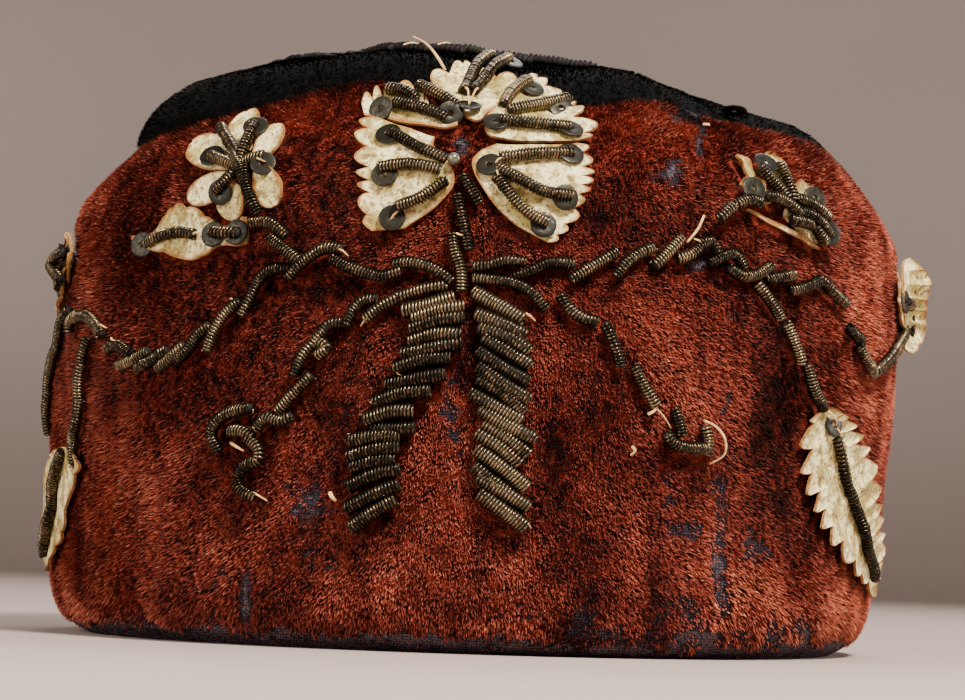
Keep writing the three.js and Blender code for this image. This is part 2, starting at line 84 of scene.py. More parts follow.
# turn, rise, wide, tall, share of the crown's rise upward
CROWN_DENTS = [(-90, 1.36, 50, 0.25, 0.10), (75, 1.36, 60, 0.30, -0.24)]
# turn, wide, share of the seam's height upward
SEAM_WAVES = [(-16, 12, 0.024), (10, 9, -0.016), (26, 8, 0.020), (80, 30, -0.009), (-80, 30, -0.014)]


def read_table(table, column, rise):
    """A smooth curve through one column of a table, read at every rise."""
    at, value = table[:, 0], table[:, column]
    step = np.diff(at)
    slope = np.diff(value) / step
    ends = np.concatenate([slope[:1], (slope[:-1] + slope[1:]) / 2, slope[-1:]])
    i = np.clip(np.searchsorted(at, rise) - 1, 0, len(at) - 2)
    t = (rise - at[i]) / step[i]
    start = (2 * t**3 - 3 * t**2 + 1) * value[i] + (t**3 - 2 * t**2 + t) * step[i] * ends[i]
    return start + (3 * t**2 - 2 * t**3) * value[i + 1] + (t**3 - t**2) * step[i] * ends[i + 1]


def swell(distance, width):
    """1 at no distance, and next to nothing beyond twice the width."""
    return np.exp(-((distance / width) ** 2))


def turn_apart(turn, other):
    """The shorter way from one turn to another, in degrees."""
    return (turn - other + 180) % 360 - 180


def dents(table, turn, rise):
    """All the dents of a table, added up at each place."""
    return sum(out * swell(turn_apart(turn, at), wide) * swell(rise - up, tall)
               for at, up, wide, tall, out in table)


print("the cap is", round(CAP_WIDTH / MM), "mm wide,", round(CAP_DEPTH / MM), "mm deep, with",
      len(SIDE_DENTS) + len(CROWN_DENTS), "dents and", len(SEAM_WAVES), "waves along its seam")


# %% [markdown]
# The side of a soft cap is a band that stands nearly upright, bulges a little and rolls in to the seam. A
# lathe could turn a round one, but this cap is deeper than it is wide, and hands have dented it. So one
# profile is carried round an ellipse, and the dents and waves are soft swells added to it. The crown starts
# from the same edge, which is why the two always meet.

# %% The skin of the velvet
def side_skin(turn, rise):
    """The outer face of the side, from the hem to the seam."""
    reach = read_table(SIDE_PROFILE, 2, rise)
    height = read_table(SIDE_PROFILE, 1, rise)
    dent = dents(SIDE_DENTS, turn, rise)
    wave = sum(up * swell(turn_apart(turn, at), wide) for at, wide, up in SEAM_WAVES)
    angle = np.radians(turn)
    x = CAP_WIDTH / 2 * (reach + dent) * np.sin(angle) + CAP_LEAN * height
    y = -(CAP_DEPTH / 2 * reach + CAP_WIDTH / 2 * dent) * np.cos(angle)
    z = SEAM_HEIGHT * (height + wave * rise**3)
    return np.stack([x, y, z], -1)


def crown_skin(turn, rise):
    """The outer face of the crown, from the seam to its middle."""
    edge = side_skin(turn, np.ones_like(rise))
    inward = rise - 1
    height = read_table(CROWN_PROFILE, 1, rise)
    fade = 4 * inward * (1 - inward)
    x = edge[..., 0] * (1 - inward) + CAP_LEAN * inward
    y = edge[..., 1] * (1 - inward)
    climb = (SEAM_HEIGHT + CROWN_RISE - edge[..., 2]) * height
    z = edge[..., 2] + climb + CROWN_RISE * fade * dents(CROWN_DENTS, turn, rise)
    return np.stack([x, y, z], -1)


def form(turn, rise):
    """The outer face of the cloth, before it is set over the origin."""
    turn, rise = np.broadcast_arrays(np.asarray(turn, float), np.asarray(rise, float))
    on_side = side_skin(turn, np.clip(rise, 0, 1))
    on_crown = crown_skin(turn, np.clip(rise, 1, 2))
    return np.where((rise <= 1)[..., None], on_side, on_crown)


# %% Set the form over the frame
whole_turns, whole_rises = np.meshgrid(np.arange(0, 360, 360 / 46), np.linspace(0, 1, 60))
side_points = form(whole_turns, whole_rises)
side_low, side_high = (np.array(corner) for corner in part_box("side_band"))
SHIFT = (side_low + side_high) / 2 - (side_points.min((0, 1)) + side_points.max((0, 1))) / 2
SHIFT[2] = 0
print("the cap is set over the origin by", SHIFT.round(5))


def skin(turn, rise):
    """The outer face of the cloth, where the solids stand."""
    return form(turn, rise) + SHIFT


def outward(turn, rise):
    """The direction straight out of the cloth."""
    turn, rise = np.broadcast_arrays(np.asarray(turn, float), np.asarray(rise, float))
    degree, share = 0.8, 0.005
    across = form(turn + degree, rise) - form(turn - degree, rise)
    up = form(turn, rise + share) - form(turn, np.maximum(rise - share, 0))
    out = np.cross(across, up)
    out[rise > 1.97] = (0, 0, 1)
    return out / np.linalg.norm(out, axis=-1, keepdims=True)


def above(turn, rise, height):
    """Places at a height over the cloth."""
    return skin(turn, rise) + outward(turn, rise) * np.asarray(height, float)[..., None]


# %% [markdown]
# Cloth is never even. A sum of waves in random directions, from a fixed seed, gives a smooth unevenness
# that is the same on every run. It stands in for a noise texture where the mesh itself has to be uneven.

# %% Smooth unevenness
# How many millimetres of cloth one whole rise is, about
RISE_MM = 125.0


def unevenness(x, y, size, seed, waves=14):
    """A smooth random field of about -1 to 1, whose lumps are about the given size."""
    rng = np.random.default_rng(seed)
    angle = rng.uniform(0, 2 * np.pi, waves)
    pace = rng.uniform(0.6, 1.5, waves) * np.pi / size
    phase = rng.uniform(0, 2 * np.pi, waves)
    total = sum(np.cos(p * (x * np.cos(a) + y * np.sin(a)) + f) for a, p, f in zip(angle, pace, phase))
    return total / math.sqrt(waves / 2) / 1.6


def cloth_mm(turn, rise):
    """Rough lengths along the cloth, in millimetres, for patterns that follow it."""
    turn = np.asarray(turn, float)
    return turn * (CAP_DEPTH / 2 / MM * math.pi / 180), np.asarray(rise, float) * RISE_MM


sample = unevenness(np.arange(400.0), np.zeros(400), 9, seed=3)
print("over 400 mm the unevenness runs from", sample.min().round(2), "to", sample.max().round(2))


# %% [markdown]
# Every piece below is a mesh made from arrays of points and faces. One helper makes the object, gives it
# its material and its smooth shading, lets it ride on the cap's one body, and hides the solids that it
# stands for.

# %% Make a piece from arrays
def make_piece(name, points, faces, materials, replaces=(), smooth=True, attributes=None,
               material_of=None):
    """points is (n, 3), and faces is a list of (m, 3) or (m, 4) arrays."""
    mesh = bpy.data.meshes.new(name)
    sizes = np.concatenate([np.full(len(f), f.shape[1], np.int32) for f in faces])
    corners = np.concatenate([f.ravel() for f in faces]).astype(np.int32)
    mesh.vertices.add(len(points))
    mesh.vertices.foreach_set("co", np.asarray(points, np.float32).ravel())
    mesh.loops.add(len(corners))
    mesh.loops.foreach_set("vertex_index", corners)
    mesh.polygons.add(len(sizes))
    mesh.polygons.foreach_set("loop_start", np.concatenate([[0], np.cumsum(sizes)[:-1]]).astype(np.int32))
    for label, values in (attributes or {}).items():
        layer = mesh.attributes.new(label, "FLOAT", "POINT")
        layer.data.foreach_set("value", np.asarray(values, np.float32).ravel())
    mesh.update(calc_edges=True)
    mesh.validate()
    mesh.polygons.foreach_set("use_smooth", np.full(len(sizes), smooth))
    for material in materials:
        mesh.materials.append(material)
    if material_of is not None:
        mesh.polygons.foreach_set("material_index", np.asarray(material_of, np.int32))
    piece = bpy.data.objects.new(name, mesh)
    bpy.context.scene.collection.objects.link(piece)
    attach(piece, "root")
    if replaces:
        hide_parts(*replaces)
    print(name, "has", int((sizes - 2).sum()), "triangles")
    return piece


def grid_faces(rows, columns, wrap=False):
    """Quads over a grid of points that is stored row by row. With wrap, the last column meets the first."""
    across = columns if wrap else columns - 1
    i, j = np.meshgrid(np.arange(rows - 1), np.arange(across), indexing="ij")
    right = (j + 1) % columns
    corners = [i * columns + j, i * columns + right, (i + 1) * columns + right, (i + 1) * columns + j]
    return np.stack(corners, -1).reshape(-1, 4)


print("a grid of 3 by 4 points makes", len(grid_faces(3, 4)), "quads, and",
      len(grid_faces(3, 4, wrap=True)), "if it closes")


# %% [markdown]
# Shader maths reads best as plain sums. The class below wraps a node's output, and each operator adds the
# Math node that works it out: numbers stay numbers, and colours go through Mix nodes so that they keep
# their hue.

# %% Sums of sockets
class Value:
    """A socket of a material's nodes that can be added to, multiplied and compared."""

    def __init__(self, tree, socket):
        self.tree, self.socket = tree, socket

    def node(self, kind, settings=None, output=0, **inputs):
        """Adds a node. Settings come first, then the values or links of its sockets."""
        made = self.tree.nodes.new(kind)
        for label, setting in (settings or {}).items():
            setattr(made, label, setting)
        for label, given in inputs.items():
            key = int(label[1:]) if label[0] == "i" and label[1:].isdigit() else label.replace("_", " ")
            socket = made.inputs[key]
            if isinstance(given, Value):
                self.tree.links.new(given.socket, socket)
            else:
                socket.default_value = given
        return Value(self.tree, made.outputs[output])

    def math(self, operation, *others):
        """Adds one Math node, for numbers only."""
        inputs = {f"i{k}": other for k, other in enumerate((self, *others))}
        return self.node("ShaderNodeMath", {"operation": operation}, **inputs)

    def __add__(self, other):
        return self.math("ADD", other)

    def __sub__(self, other):
        return self.math("SUBTRACT", other)

    def __rsub__(self, other):
        return (self * -1).math("ADD", other)

    def __mul__(self, other):
        return self.math("MULTIPLY", other)

    __radd__, __rmul__ = __add__, __mul__

    def __pow__(self, other):
        return self.math("POWER", other)

    def between(self, low, high):
        """0 below low, 1 above high, and smooth between them."""
        settings = {"interpolation_type": "SMOOTHSTEP"}
        return self.node("ShaderNodeMapRange", settings, Value=self, From_Min=low, From_Max=high)

    def mix(self, first, second):
        """The first colour where this is 0, and the second where it is 1."""
        made = self.tree.nodes.new("ShaderNodeMix")
        made.data_type = "RGBA"
        self.tree.links.new(self.socket, made.inputs["Factor"])
        for socket, given in zip((made.inputs[6], made.inputs[7]), (first, second)):
            if isinstance(given, Value):
                self.tree.links.new(given.socket, socket)
            else:
                socket.default_value = (*given, 1.0)
        return Value(self.tree, made.outputs[2])


# %% A finish and its colours
class Finish:
    """A new material whose shader sockets are set by name."""

    def __init__(self, name, **constants):
        self.material = bpy.data.materials.new(name)
        self.material.use_nodes = True
        self.tree = self.material.node_tree
        self.shader = self.tree.nodes["Principled BSDF"]
        for label, constant in constants.items():
            self.shader.inputs[label.replace("_", " ")].default_value = constant
        where = self.tree.nodes.new("ShaderNodeTexCoord")
        self.place = Value(self.tree, where.outputs["Object"])

    def attribute(self, name):
        """Numbers that the mesh carries at its points."""
        made = self.tree.nodes.new("ShaderNodeAttribute")
        made.attribute_name = name
        return Value(self.tree, made.outputs["Fac"])

    def noise(self, scale, detail=2.0, roughness=0.5):
        """Cloudy noise in the object's own space. A larger scale has smaller clouds."""
        return self.place.node("ShaderNodeTexNoise", Vector=self.place, Scale=scale, Detail=detail,
                               Roughness=roughness)

    def feed(self, **sockets):
        """Links values to the shader's sockets."""
        for label, value in sockets.items():
            self.tree.links.new(value.socket, self.shader.inputs[label.replace("_", " ")])

    def bump(self, height, distance, strength=1.0):
        made = height.node("ShaderNodeBump", Height=height, Distance=distance, Strength=strength)
        self.feed(Normal=made)


def srgb(red, green, blue):
    """A colour as it is seen on a screen, from 0 to 255, as the linear light that shaders use."""
    return tuple(((c / 255 + 0.055) / 1.055) ** 2.4 if c > 10 else c / 255 / 12.92
                 for c in (red, green, blue))


print("a white of 240 on the screen is", round(srgb(240, 240, 240)[0], 3), "of full light")

# %% [markdown]
# The camera comes early, because many pieces are set out from what it sees. It stands low in front of the
# cap and looks slightly up. A long lens far away keeps the cap's sides from spreading, as a portrait lens
# does. It never uses depth of field, so every stitch stays sharp.

# %% The camera
PICTURE_WIDTH, PICTURE_HEIGHT = 965, 700
FOCAL_PIXELS = 3056
SENSOR = 36
EYE = np.array([-0.375, -678.865, 17.0]) * MM
LOOK_UP, ROLL = math.radians(4.03), math.radians(1.9)

camera = bpy.data.objects.new("camera", bpy.data.cameras.new("camera"))
camera.data.sensor_width = SENSOR
camera.data.lens = FOCAL_PIXELS / PICTURE_WIDTH * SENSOR
camera.location = EYE
camera.rotation_mode = "QUATERNION"
camera.rotation_quaternion = Quaternion((1, 0, 0), math.pi / 2 + LOOK_UP) @ Quaternion((0, 0, 1), ROLL)
bpy.context.scene.collection.objects.link(camera)
bpy.context.scene.camera = camera
CAMERA_AXES = np.array(camera.rotation_quaternion.to_matrix())
print("the lens is", round(camera.data.lens, 1), "mm")


# %% [markdown]
# A rule laid on a picture can't measure embroidery, because the cloth curves away under it. So the way back
# from a pixel to the cloth is a search: a coarse net of places gives the nearest one that the camera sees,
# and a few corrected steps walk from there to the exact place. Stitches could also be placed by eye in the
# 3-D view, but they drift that way, and they would have to be placed again whenever the form changes.

# %% From the picture to the cloth
def picture_of(points):
    """Where points of the cap fall in the picture, in its pixels."""
    seen = (points - EYE) @ CAMERA_AXES
    scale = FOCAL_PIXELS / -seen[..., 2]
    across = PICTURE_WIDTH / 2 + seen[..., 0] * scale
    return np.stack([across, PICTURE_HEIGHT / 2 - seen[..., 1] * scale], -1)


net_turn, net_rise = (net.ravel() for net in np.meshgrid(np.arange(-100, 101, 2.0), np.linspace(0, 1.5, 90)))
net_points = skin(net_turn, net_rise)
net_faces_eye = ((EYE - net_points) * outward(net_turn, net_rise)).sum(-1) > 0
net_turn, net_rise, net_points = (net[net_faces_eye] for net in (net_turn, net_rise, net_points))
net_picture = picture_of(net_points)


def seen_at(pixels):
    """The places (turn, rise) on the cloth that the camera sees at these pixels of the picture."""
    pixels = np.atleast_2d(np.asarray(pixels, float))
    nearest = np.argmin(((net_picture[None] - pixels[:, None]) ** 2).sum(-1), axis=1)
    place = np.stack([net_turn[nearest], net_rise[nearest]], -1)
    for _ in range(16):
        here = picture_of(skin(place[:, 0], place[:, 1]))
        by_turn = (picture_of(skin(place[:, 0] + 0.2, place[:, 1])) - here) / 0.2
        by_rise = (picture_of(skin(place[:, 0], place[:, 1] + 0.002)) - here) / 0.002
        miss = pixels - here
        area = by_turn[:, 0] * by_rise[:, 1] - by_turn[:, 1] * by_rise[:, 0]
        area = np.where(np.abs(area) < 12, np.sign(area) * 12, area)
        turn_step = (miss[:, 0] * by_rise[:, 1] - miss[:, 1] * by_rise[:, 0]) / area
        rise_step = (by_turn[:, 0] * miss[:, 1] - by_turn[:, 1] * miss[:, 0]) / area
        place[:, 0] += np.clip(turn_step, -2, 2)
        place[:, 1] += np.clip(rise_step, -0.02, 0.02)
    return place


middle_of_bead = seen_at([(454, 167)])[0]
print("the bead of the centre flower sits at turn, rise", middle_of_bead.round(3))

# %% [markdown]
# The stage is a round, pale floor that curves up into a wall on every side, as a studio cove does, so that
# the cap is seen against one plain tone from any direction. Four soft lamps light it: a key from the upper
# right, as the gloss on the purls shows, a weak fill from the left, one behind that edges the dark crown,
# and one low at the right that warms that edge. Small lamps would give harder glints, but also shadows that
# the cap lacks.

# %% The cove
COVE_RADIUS, COVE_BEND, COVE_HEIGHT = 1.9, 0.7, 2.6

bend = np.radians(np.linspace(0, 90, 16))
cove_reach = np.concatenate([[0, 0.5, 1.2], COVE_RADIUS + COVE_BEND * np.sin(bend),
                             [COVE_RADIUS + COVE_BEND]])
cove_rise = np.concatenate([[0, 0, 0], COVE_BEND * (1 - np.cos(bend)), [COVE_HEIGHT]])
cove_turns = np.radians(np.arange(0, 360, 5))
cove_points = np.stack([
    cove_reach[:, None] * np.sin(cove_turns), cove_reach[:, None] * np.cos(cove_turns),
    np.repeat(cove_rise[:, None], len(cove_turns), 1),
], -1).reshape(-1, 3)
cove_mesh = bpy.data.meshes.new("cove")
cove_mesh.from_pydata(cove_points.tolist(), [],
                      grid_faces(len(cove_reach), len(cove_turns), wrap=True).tolist())
cove_mesh.polygons.foreach_set("use_smooth", [True] * len(cove_mesh.polygons))
cove = bpy.data.objects.new("cove", cove_mesh)
bpy.context.scene.collection.objects.link(cove)

cove_paint = Finish("cove_paint", Roughness=0.9, Specular_IOR_Level=0.2)
clouding = cove_paint.noise(1.2, 2.0).between(0.3, 0.7)
wall_tone = clouding.mix(srgb(198, 184, 178), srgb(207, 194, 188))
height_in_room = cove_paint.place.node("ShaderNodeSeparateXYZ", output=2, Vector=cove_paint.place)
floor_tone = clouding.mix(srgb(168, 151, 144), srgb(176, 159, 152))
cove_paint.feed(Base_Color=height_in_room.between(0.0, 0.35).mix(floor_tone, wall_tone))
cove_mesh.materials.append(cove_paint.material)
print("the cove is", round(2 * (COVE_RADIUS + COVE_BEND), 1), "m across")


# %% The lamps
def add_lamp(name, azimuth, elevation, distance, size, watts, colour):
    """A square soft lamp that looks at the middle of the cap. Azimuth 0 is the front, and 90 the +X side."""
    lamp = bpy.data.objects.new(name, bpy.data.lights.new(name, "AREA"))
    lamp.data.shape, lamp.data.size = "SQUARE", size
    lamp.data.energy, lamp.data.color = watts, colour
    turn, lift = math.radians(azimuth), math.radians(elevation)
    middle = Vector((0, 0, 0.07))
    away = Vector((math.sin(turn) * math.cos(lift), -math.cos(turn) * math.cos(lift), math.sin(lift)))
    lamp.location = middle + away * distance
    lamp.rotation_mode = "QUATERNION"
    lamp.rotation_quaternion = away.to_track_quat("Z", "Y")
    lamp.visible_camera = False
    bpy.context.scene.collection.objects.link(lamp)


# azimuth and elevation in degrees, distance and size in metres, watts, colour
LAMPS = {
    "key": (26, 46, 1.1, 0.22, 28, (1.0, 0.94, 0.86)),
    "fill": (-52, 20, 1.3, 0.80, 15, (1.0, 0.94, 0.87)),
    "edge": (172, 50, 1.2, 0.60, 9, (1.0, 0.97, 0.94)),
    "side_edge": (98, 14, 1.2, 0.50, 10, (1.0, 0.93, 0.84)),
}
for name, lamp in LAMPS.items():
    add_lamp(name, *lamp)
print(len(LAMPS), "lamps give", sum(lamp[4] for lamp in LAMPS.values()), "watts in all")

air = bpy.data.worlds.new("air")
air.use_nodes = True
air.node_tree.nodes["Background"].inputs["Color"].default_value = (0.80, 0.78, 0.78, 1)
air.node_tree.nodes["Background"].inputs["Strength"].default_value = 0.30
bpy.context.scene.world = air

# %% [markdown]
# The velvet is a woven ground with pile standing on it. The pile has worn through along the hem, in a few
# lines where the cloth was folded, and in patches. One list of worn places, read off the picture, thins the
# pile and bares the weave, so both pieces always agree.

# %% Where the velvet is worn
# x, y, half width, half height in the picture's pixels, and how bare it is
WORN_PATCHES = [
    (242, 606, 5, 40, 0.75), (299, 504, 20, 17, 0.70), (450, 415, 9, 38, 0.60), (726, 470, 8, 34, 0.5),
    (722, 560, 7, 70, 0.75), (690, 530, 20, 10, 0.65), (691, 612, 26, 26, 0.5), (700, 640, 36, 12, 0.9),
    (596, 636, 34, 10, 0.7), (588, 618, 12, 10, 0.6), (756, 547, 13, 15, 0.60), (777, 641, 12, 20, 0.8),
    (806, 636, 10, 16, 0.8), (673, 170, 13, 11, 0.8), (698, 264, 10, 7, 1.0), (690, 112, 13, 7, 0.8),
    (704, 136, 5, 16, 0.7),
    (463, 142, 7, 7, 1.0), (317, 560, 16, 22, 0.35), (640, 640, 30, 8, 0.6), (668, 500, 8, 22, 0.35),
    (730, 405, 8, 20, 0.35), (349, 407, 12, 6, 0.4), (732, 318, 6, 9, 0.5), (430, 640, 60, 8, 0.45),
    (520, 622, 26, 14, 0.3), (215, 600, 12, 30, 0.3),
]
HEM_WORN_RISE = 0.052


def soft_step(value, low, high):
    """0 up to low, 1 from high on, and smooth between them."""
    t = np.clip((value - low) / (high - low), 0, 1)
    return t * t * (3 - 2 * t)


def front_share(turn):
    """1 where the picture shows the cloth, and 0 round the back."""
    return 1 - soft_step(np.abs(turn_apart(turn, 0)), 74, 94)


def worn(turn, rise):
    """How bare the velvet is: 0 under full pile, and 1 where only the weave is left."""
    across, up = cloth_mm(turn, rise)
    ragged = unevenness(across, up, 5, seed=11) * 0.25 + unevenness(across, up, 1.8, seed=12) * 0.3
    hem = 1 - soft_step(rise - 0.010 * unevenness(across, up * 0, 14, seed=13), HEM_WORN_RISE * 0.55,
                        HEM_WORN_RISE * 1.5)
    bare = hem * 1.3
    points = picture_of(skin(turn, rise))
    on_front = front_share(turn)
    for x, y, half_wide, half_tall, much in WORN_PATCHES:
        far = ((points[..., 0] - x) / half_wide) ** 2 + ((points[..., 1] - y) / half_tall) ** 2
        bare = np.maximum(bare, much * np.exp(-far * 0.7) * 1.25 * on_front)
    elsewhere = (unevenness(across, up, 26, seed=14) - 0.75) * (1 - on_front)
    bare = np.maximum(bare, np.clip(elsewhere, 0, 1) * 1.2)
    return np.clip(bare + ragged * (bare > 0.12), 0, 1)


front_turns = np.linspace(-60, 60, 61)
for where, height in (("hem", 0.02), ("middle", 0.5)):
    print("along its", where, "the front is bare by", worn(front_turns, np.full(61, height)).mean().round(2))

# %% [markdown]
# Velvet looks lighter or darker with the way its pile lies to the light, where a hand or a fold has pressed
# it, and where the lamps light it or leave it in shade. These places are painted light and painted shade:
# they only tell the tips of the pile how light to be, because a change in the weave's colour would look like
# a stain. They are read off the picture like the worn ones.

# %% How the pile lies, as painted light and painted shade
# x, y, half width, half height in pixels, and how much lighter the tips are painted, with painted shade below
# 0
NAP_PAINTED_LIGHT_PATCHES = [
    (120, 500, 95, 110, 0.30), (88, 190, 26, 90, 0.30), (70, 590, 26, 60, 0.25), (200, 290, 90, 40, -0.25),
    (322, 200, 32, 60, -0.30), (300, 120, 60, 26, 0.25), (240, 440, 30, 70, -0.40),
    (335, 420, 16, 60, -0.25), (170, 395, 60, 26, -0.25), (465, 440, 16, 60, 0.20),
    (622, 222, 34, 40, -0.45), (640, 130, 56, 38, 0.45), (800, 180, 60, 36, 0.15), (850, 230, 30, 40, 0.20),
    (555, 460, 18, 60, -0.30), (582, 595, 24, 60, -0.50), (654, 560, 10, 70, -0.45),
    (775, 440, 26, 100, -0.60), (700, 440, 34, 30, 0.30), (722, 560, 50, 60, 0.30), (790, 610, 60, 46, 0.50),
    (868, 600, 30, 50, 0.55), (866, 330, 26, 60, 0.60), (872, 400, 20, 40, 0.45), (620, 500, 26, 26, 0.15),
    (400, 575, 110, 40, 0.10), (560, 380, 50, 36, 0.15), (270, 560, 26, 60, -0.15),
    (150, 240, 60, 40, -0.20),
]


def nap_painted_light(turn, rise):
    """How much painted light the pile's tips get at a place, about -0.6 to 0.6, with painted shade below 0.
    """
    points = picture_of(skin(turn, rise))
    across, up = cloth_mm(turn, rise)
    light = 0.14 * unevenness(across, up, 18, seed=31) + 0.10 * unevenness(across, up, 7, seed=32)
    on_front = front_share(turn)
    for x, y, half_wide, half_tall, much in NAP_PAINTED_LIGHT_PATCHES:
        far = ((points[..., 0] - x) / half_wide) ** 2 + ((points[..., 1] - y) / half_tall) ** 2
        light = light + much * np.exp(-far * 0.8) * on_front
    return light + 0.16 * unevenness(across, up, 30, seed=33) * (1 - on_front)


# The pressed places carry painted light and painted shade on the pile's tips.
print(len(WORN_PATCHES), "worn and", len(NAP_PAINTED_LIGHT_PATCHES), "pressed places are set out")


# %% [markdown]
# The solids are even, but soft cloth isn't. The side sags a little everywhere, and the crown's velvet puffs
# out over the seam and sinks inside the wreath. A cloth simulation could find such folds, but not these
# ones, so they are a few swells. What is sewn on later asks the same functions for its height, and so it
# never floats.

# %% How the soft cloth stands
def softness(turn, rise):
    """How far the soft cloth stands off its even form, in metres."""
    across, up = cloth_mm(turn, rise)
    around = np.radians(turn)
    wide = unevenness(40 * np.sin(around), 40 * np.cos(around) + up * 0.8, 26, seed=3)
    small = unevenness(106 * np.sin(around), 106 * np.cos(around) + up, 9, seed=4)
    return (0.55 * wide + 0.16 * small) * MM


def lip_drop(turn):
    """How far, in rise, the edge of the crown hangs over the top of the side."""
    left, right = swell(turn_apart(turn, -58), 30), swell(turn_apart(turn, 38), 14)
    return 0.006 + 0.040 * left + 0.040 * right + 0.055 * swell(turn_apart(turn, 70), 22)


def crown_puff(turn, rise):
    """How far the crown's velvet puffs out over its edge, and sags inside the wreath, in metres."""
    high = 1.3 + 2.6 * swell(turn_apart(turn, -66), 38) - 1.9 * swell(turn_apart(turn, 50), 26)
    edge = 1 - lip_drop(turn)
    share = np.clip((rise - edge) / (1.26 - edge), 0, 1)
    sag = 3.2 * soft_step(rise, 1.38, 1.72)
    return (high * np.sin(np.pi * share**0.55) - sag) * MM


def on_cloth(turn, rise, height):
    """Places at a height over the cloth, which carry its softness with them."""
    turn, rise = np.broadcast_arrays(np.asarray(turn, float), np.asarray(rise, float))
    return above(turn, rise, softness(turn, rise) + height)


def on_crown(turn, rise, height):
    """The same over the crown, which also puffs and sags."""
    turn, rise = np.broadcast_arrays(np.asarray(turn, float), np.asarray(rise, float))
    return above(turn, rise, softness(turn, rise) + crown_puff(turn, rise) + height)


round_the_cap = np.arange(0, 360, 5.0)
print("the side stands off its even form by up to",
      np.abs(softness(round_the_cap, 0.5) / MM).max().round(2), "mm,")
print("and the crown's edge puffs by up to", (crown_puff(round_the_cap, 1.1) / MM).max().round(2), "mm")

# %% [markdown]
# Under the pile lies the woven ground, which the hem turns up inside. A thick sheet is enough, because
# nobody sees between its faces: the rows of points run up the outside, over the seam, down the inside and
# back to the hem's fold. They are closer together where the cloth bends, and at the front, where the wear
# has to be sharp.

# %% The woven ground of the side
GROUND_DEPTH = 0.9 * MM
outer_rises = np.concatenate([np.linspace(0, 0.06, 9)[:-1], np.linspace(0.06, 0.94, 84)[:-1],
                              np.linspace(0.94, 1, 8)])
inner_rises = np.linspace(1, 0.05, 16)
ground_turns = np.concatenate([np.arange(-90, 90, 0.75), np.arange(90, 270, 2.0)])
GROUND_TURNS = len(ground_turns)


def ground_depth(rise):
    """The ground lies under the pile, but comes up to the hem's fold and to the seam."""
    return GROUND_DEPTH * soft_step(rise, 0.0, 0.07) * (1 - 0.5 * soft_step(rise, 0.97, 1.0))


turn_grid, rise_grid = np.meshgrid(ground_turns, outer_rises)
outer_face = on_cloth(turn_grid, rise_grid, -ground_depth(rise_grid))
turn_inner, rise_inner = np.meshgrid(ground_turns, inner_rises)
inner_face = on_cloth(turn_inner, rise_inner, -SIDE_WALL)
hem_fold = outer_face[:1] - np.stack([np.sin(np.radians(ground_turns)), -np.cos(np.radians(ground_turns)),
                                      0 * ground_turns], -1)[None] * HEM_WIDTH
outer_face[0, :, 2] = 0
hem_fold[0, :, 2] = 0
rows = np.concatenate([hem_fold, outer_face, inner_face])
row_rises = np.concatenate([[0], outer_rises, inner_rises])
ground_faces = grid_faces(len(rows), GROUND_TURNS, wrap=True)
closing = grid_faces(2, GROUND_TURNS, wrap=True)
last_row = (len(rows) - 1) * GROUND_TURNS
closing = np.where(closing >= GROUND_TURNS, closing - GROUND_TURNS, closing + last_row)
ground_turn = np.broadcast_to(ground_turns, (len(rows), GROUND_TURNS))
ground_rise = np.broadcast_to(row_rises[:, None], ground_turn.shape)
ground_bare = worn(ground_turn, ground_rise)
ground_bare[:1] = 1
ground_bare[1 + len(outer_rises):] = 1
print("the ground is a net of", len(rows), "by", GROUND_TURNS, "points, bare by",
      ground_bare.mean().round(2))


# %% [markdown]
# Where the pile is gone, the cloth shows its threads, which are paler than the pile and a little blue. A
# woven pattern could be drawn thread by thread, but at this size each thread is a dot. So a cell noise
# gives the dots, a finer one leaves some lint of the pile on them, and how bare a place is blends threads
# and pile.

# %% The weave's finish
def weave_finish(name, thread_light, thread_dark, pile_light, pile_dark):
    """A woven ground whose threads show where the pile is gone."""
    finish = Finish(name, Roughness=0.95, Specular_IOR_Level=0.08)
    place = finish.place
    noise = place.node("ShaderNodeTexVoronoi", {"feature": "F1"}, Vector=place, Scale=1900.0,
                       Randomness=0.55)
    broad = finish.noise(160.0, 3.0)
    thread = noise.between(0.25, 0.62)
    threads = (thread * 0.75 + broad.between(0.3, 0.7) * 0.25).mix(thread_light, thread_dark)
    lint = finish.noise(900.0, 2.0).between(0.56, 0.68)
    threads = (lint * 0.5).mix(threads, pile_light)
    bed = finish.noise(420.0, 3.0).between(0.35, 0.65).mix(pile_dark, pile_light)
    bare = finish.attribute("bare")
    threads = (bare.between(1.0, 0.80) * 0.72).mix(threads, thread_dark)
    finish.feed(Base_Color=bare.between(0.25, 0.6).mix(bed, threads))
    finish.bump(1 - thread, 0.00025, 0.9)
    return finish.material


rust_weave = weave_finish("rust_weave", srgb(108, 96, 104), srgb(17, 13, 19), srgb(120, 44, 30),
                          srgb(30, 8, 7))
ground = make_piece(
    "velvet_ground", rows.reshape(-1, 3), [ground_faces, closing], [rust_weave],
    replaces=["side_band"], attributes={"bare": ground_bare.ravel()},
)


# %% [markdown]
# Pile must not poke through what is sewn over it. So each piece of the embroidery also stamps its footprint
# on a flat map of the cloth, and the pile is planted last, only where the map is still free.

# %% The map of what covers the cloth
STAMP_MM = 0.3
MAP_WIDE, MAP_TALL = cloth_mm(360, 2)
free_map = np.ones((int(MAP_TALL / STAMP_MM) + 1, int(MAP_WIDE / STAMP_MM) + 1), bool)


def map_cells(turn, rise):
    """The map's row and column of each place."""
    across, up = cloth_mm(np.asarray(turn) % 360, np.clip(rise, 0, 2))
    return (up / STAMP_MM).astype(int), (across / STAMP_MM).astype(int)


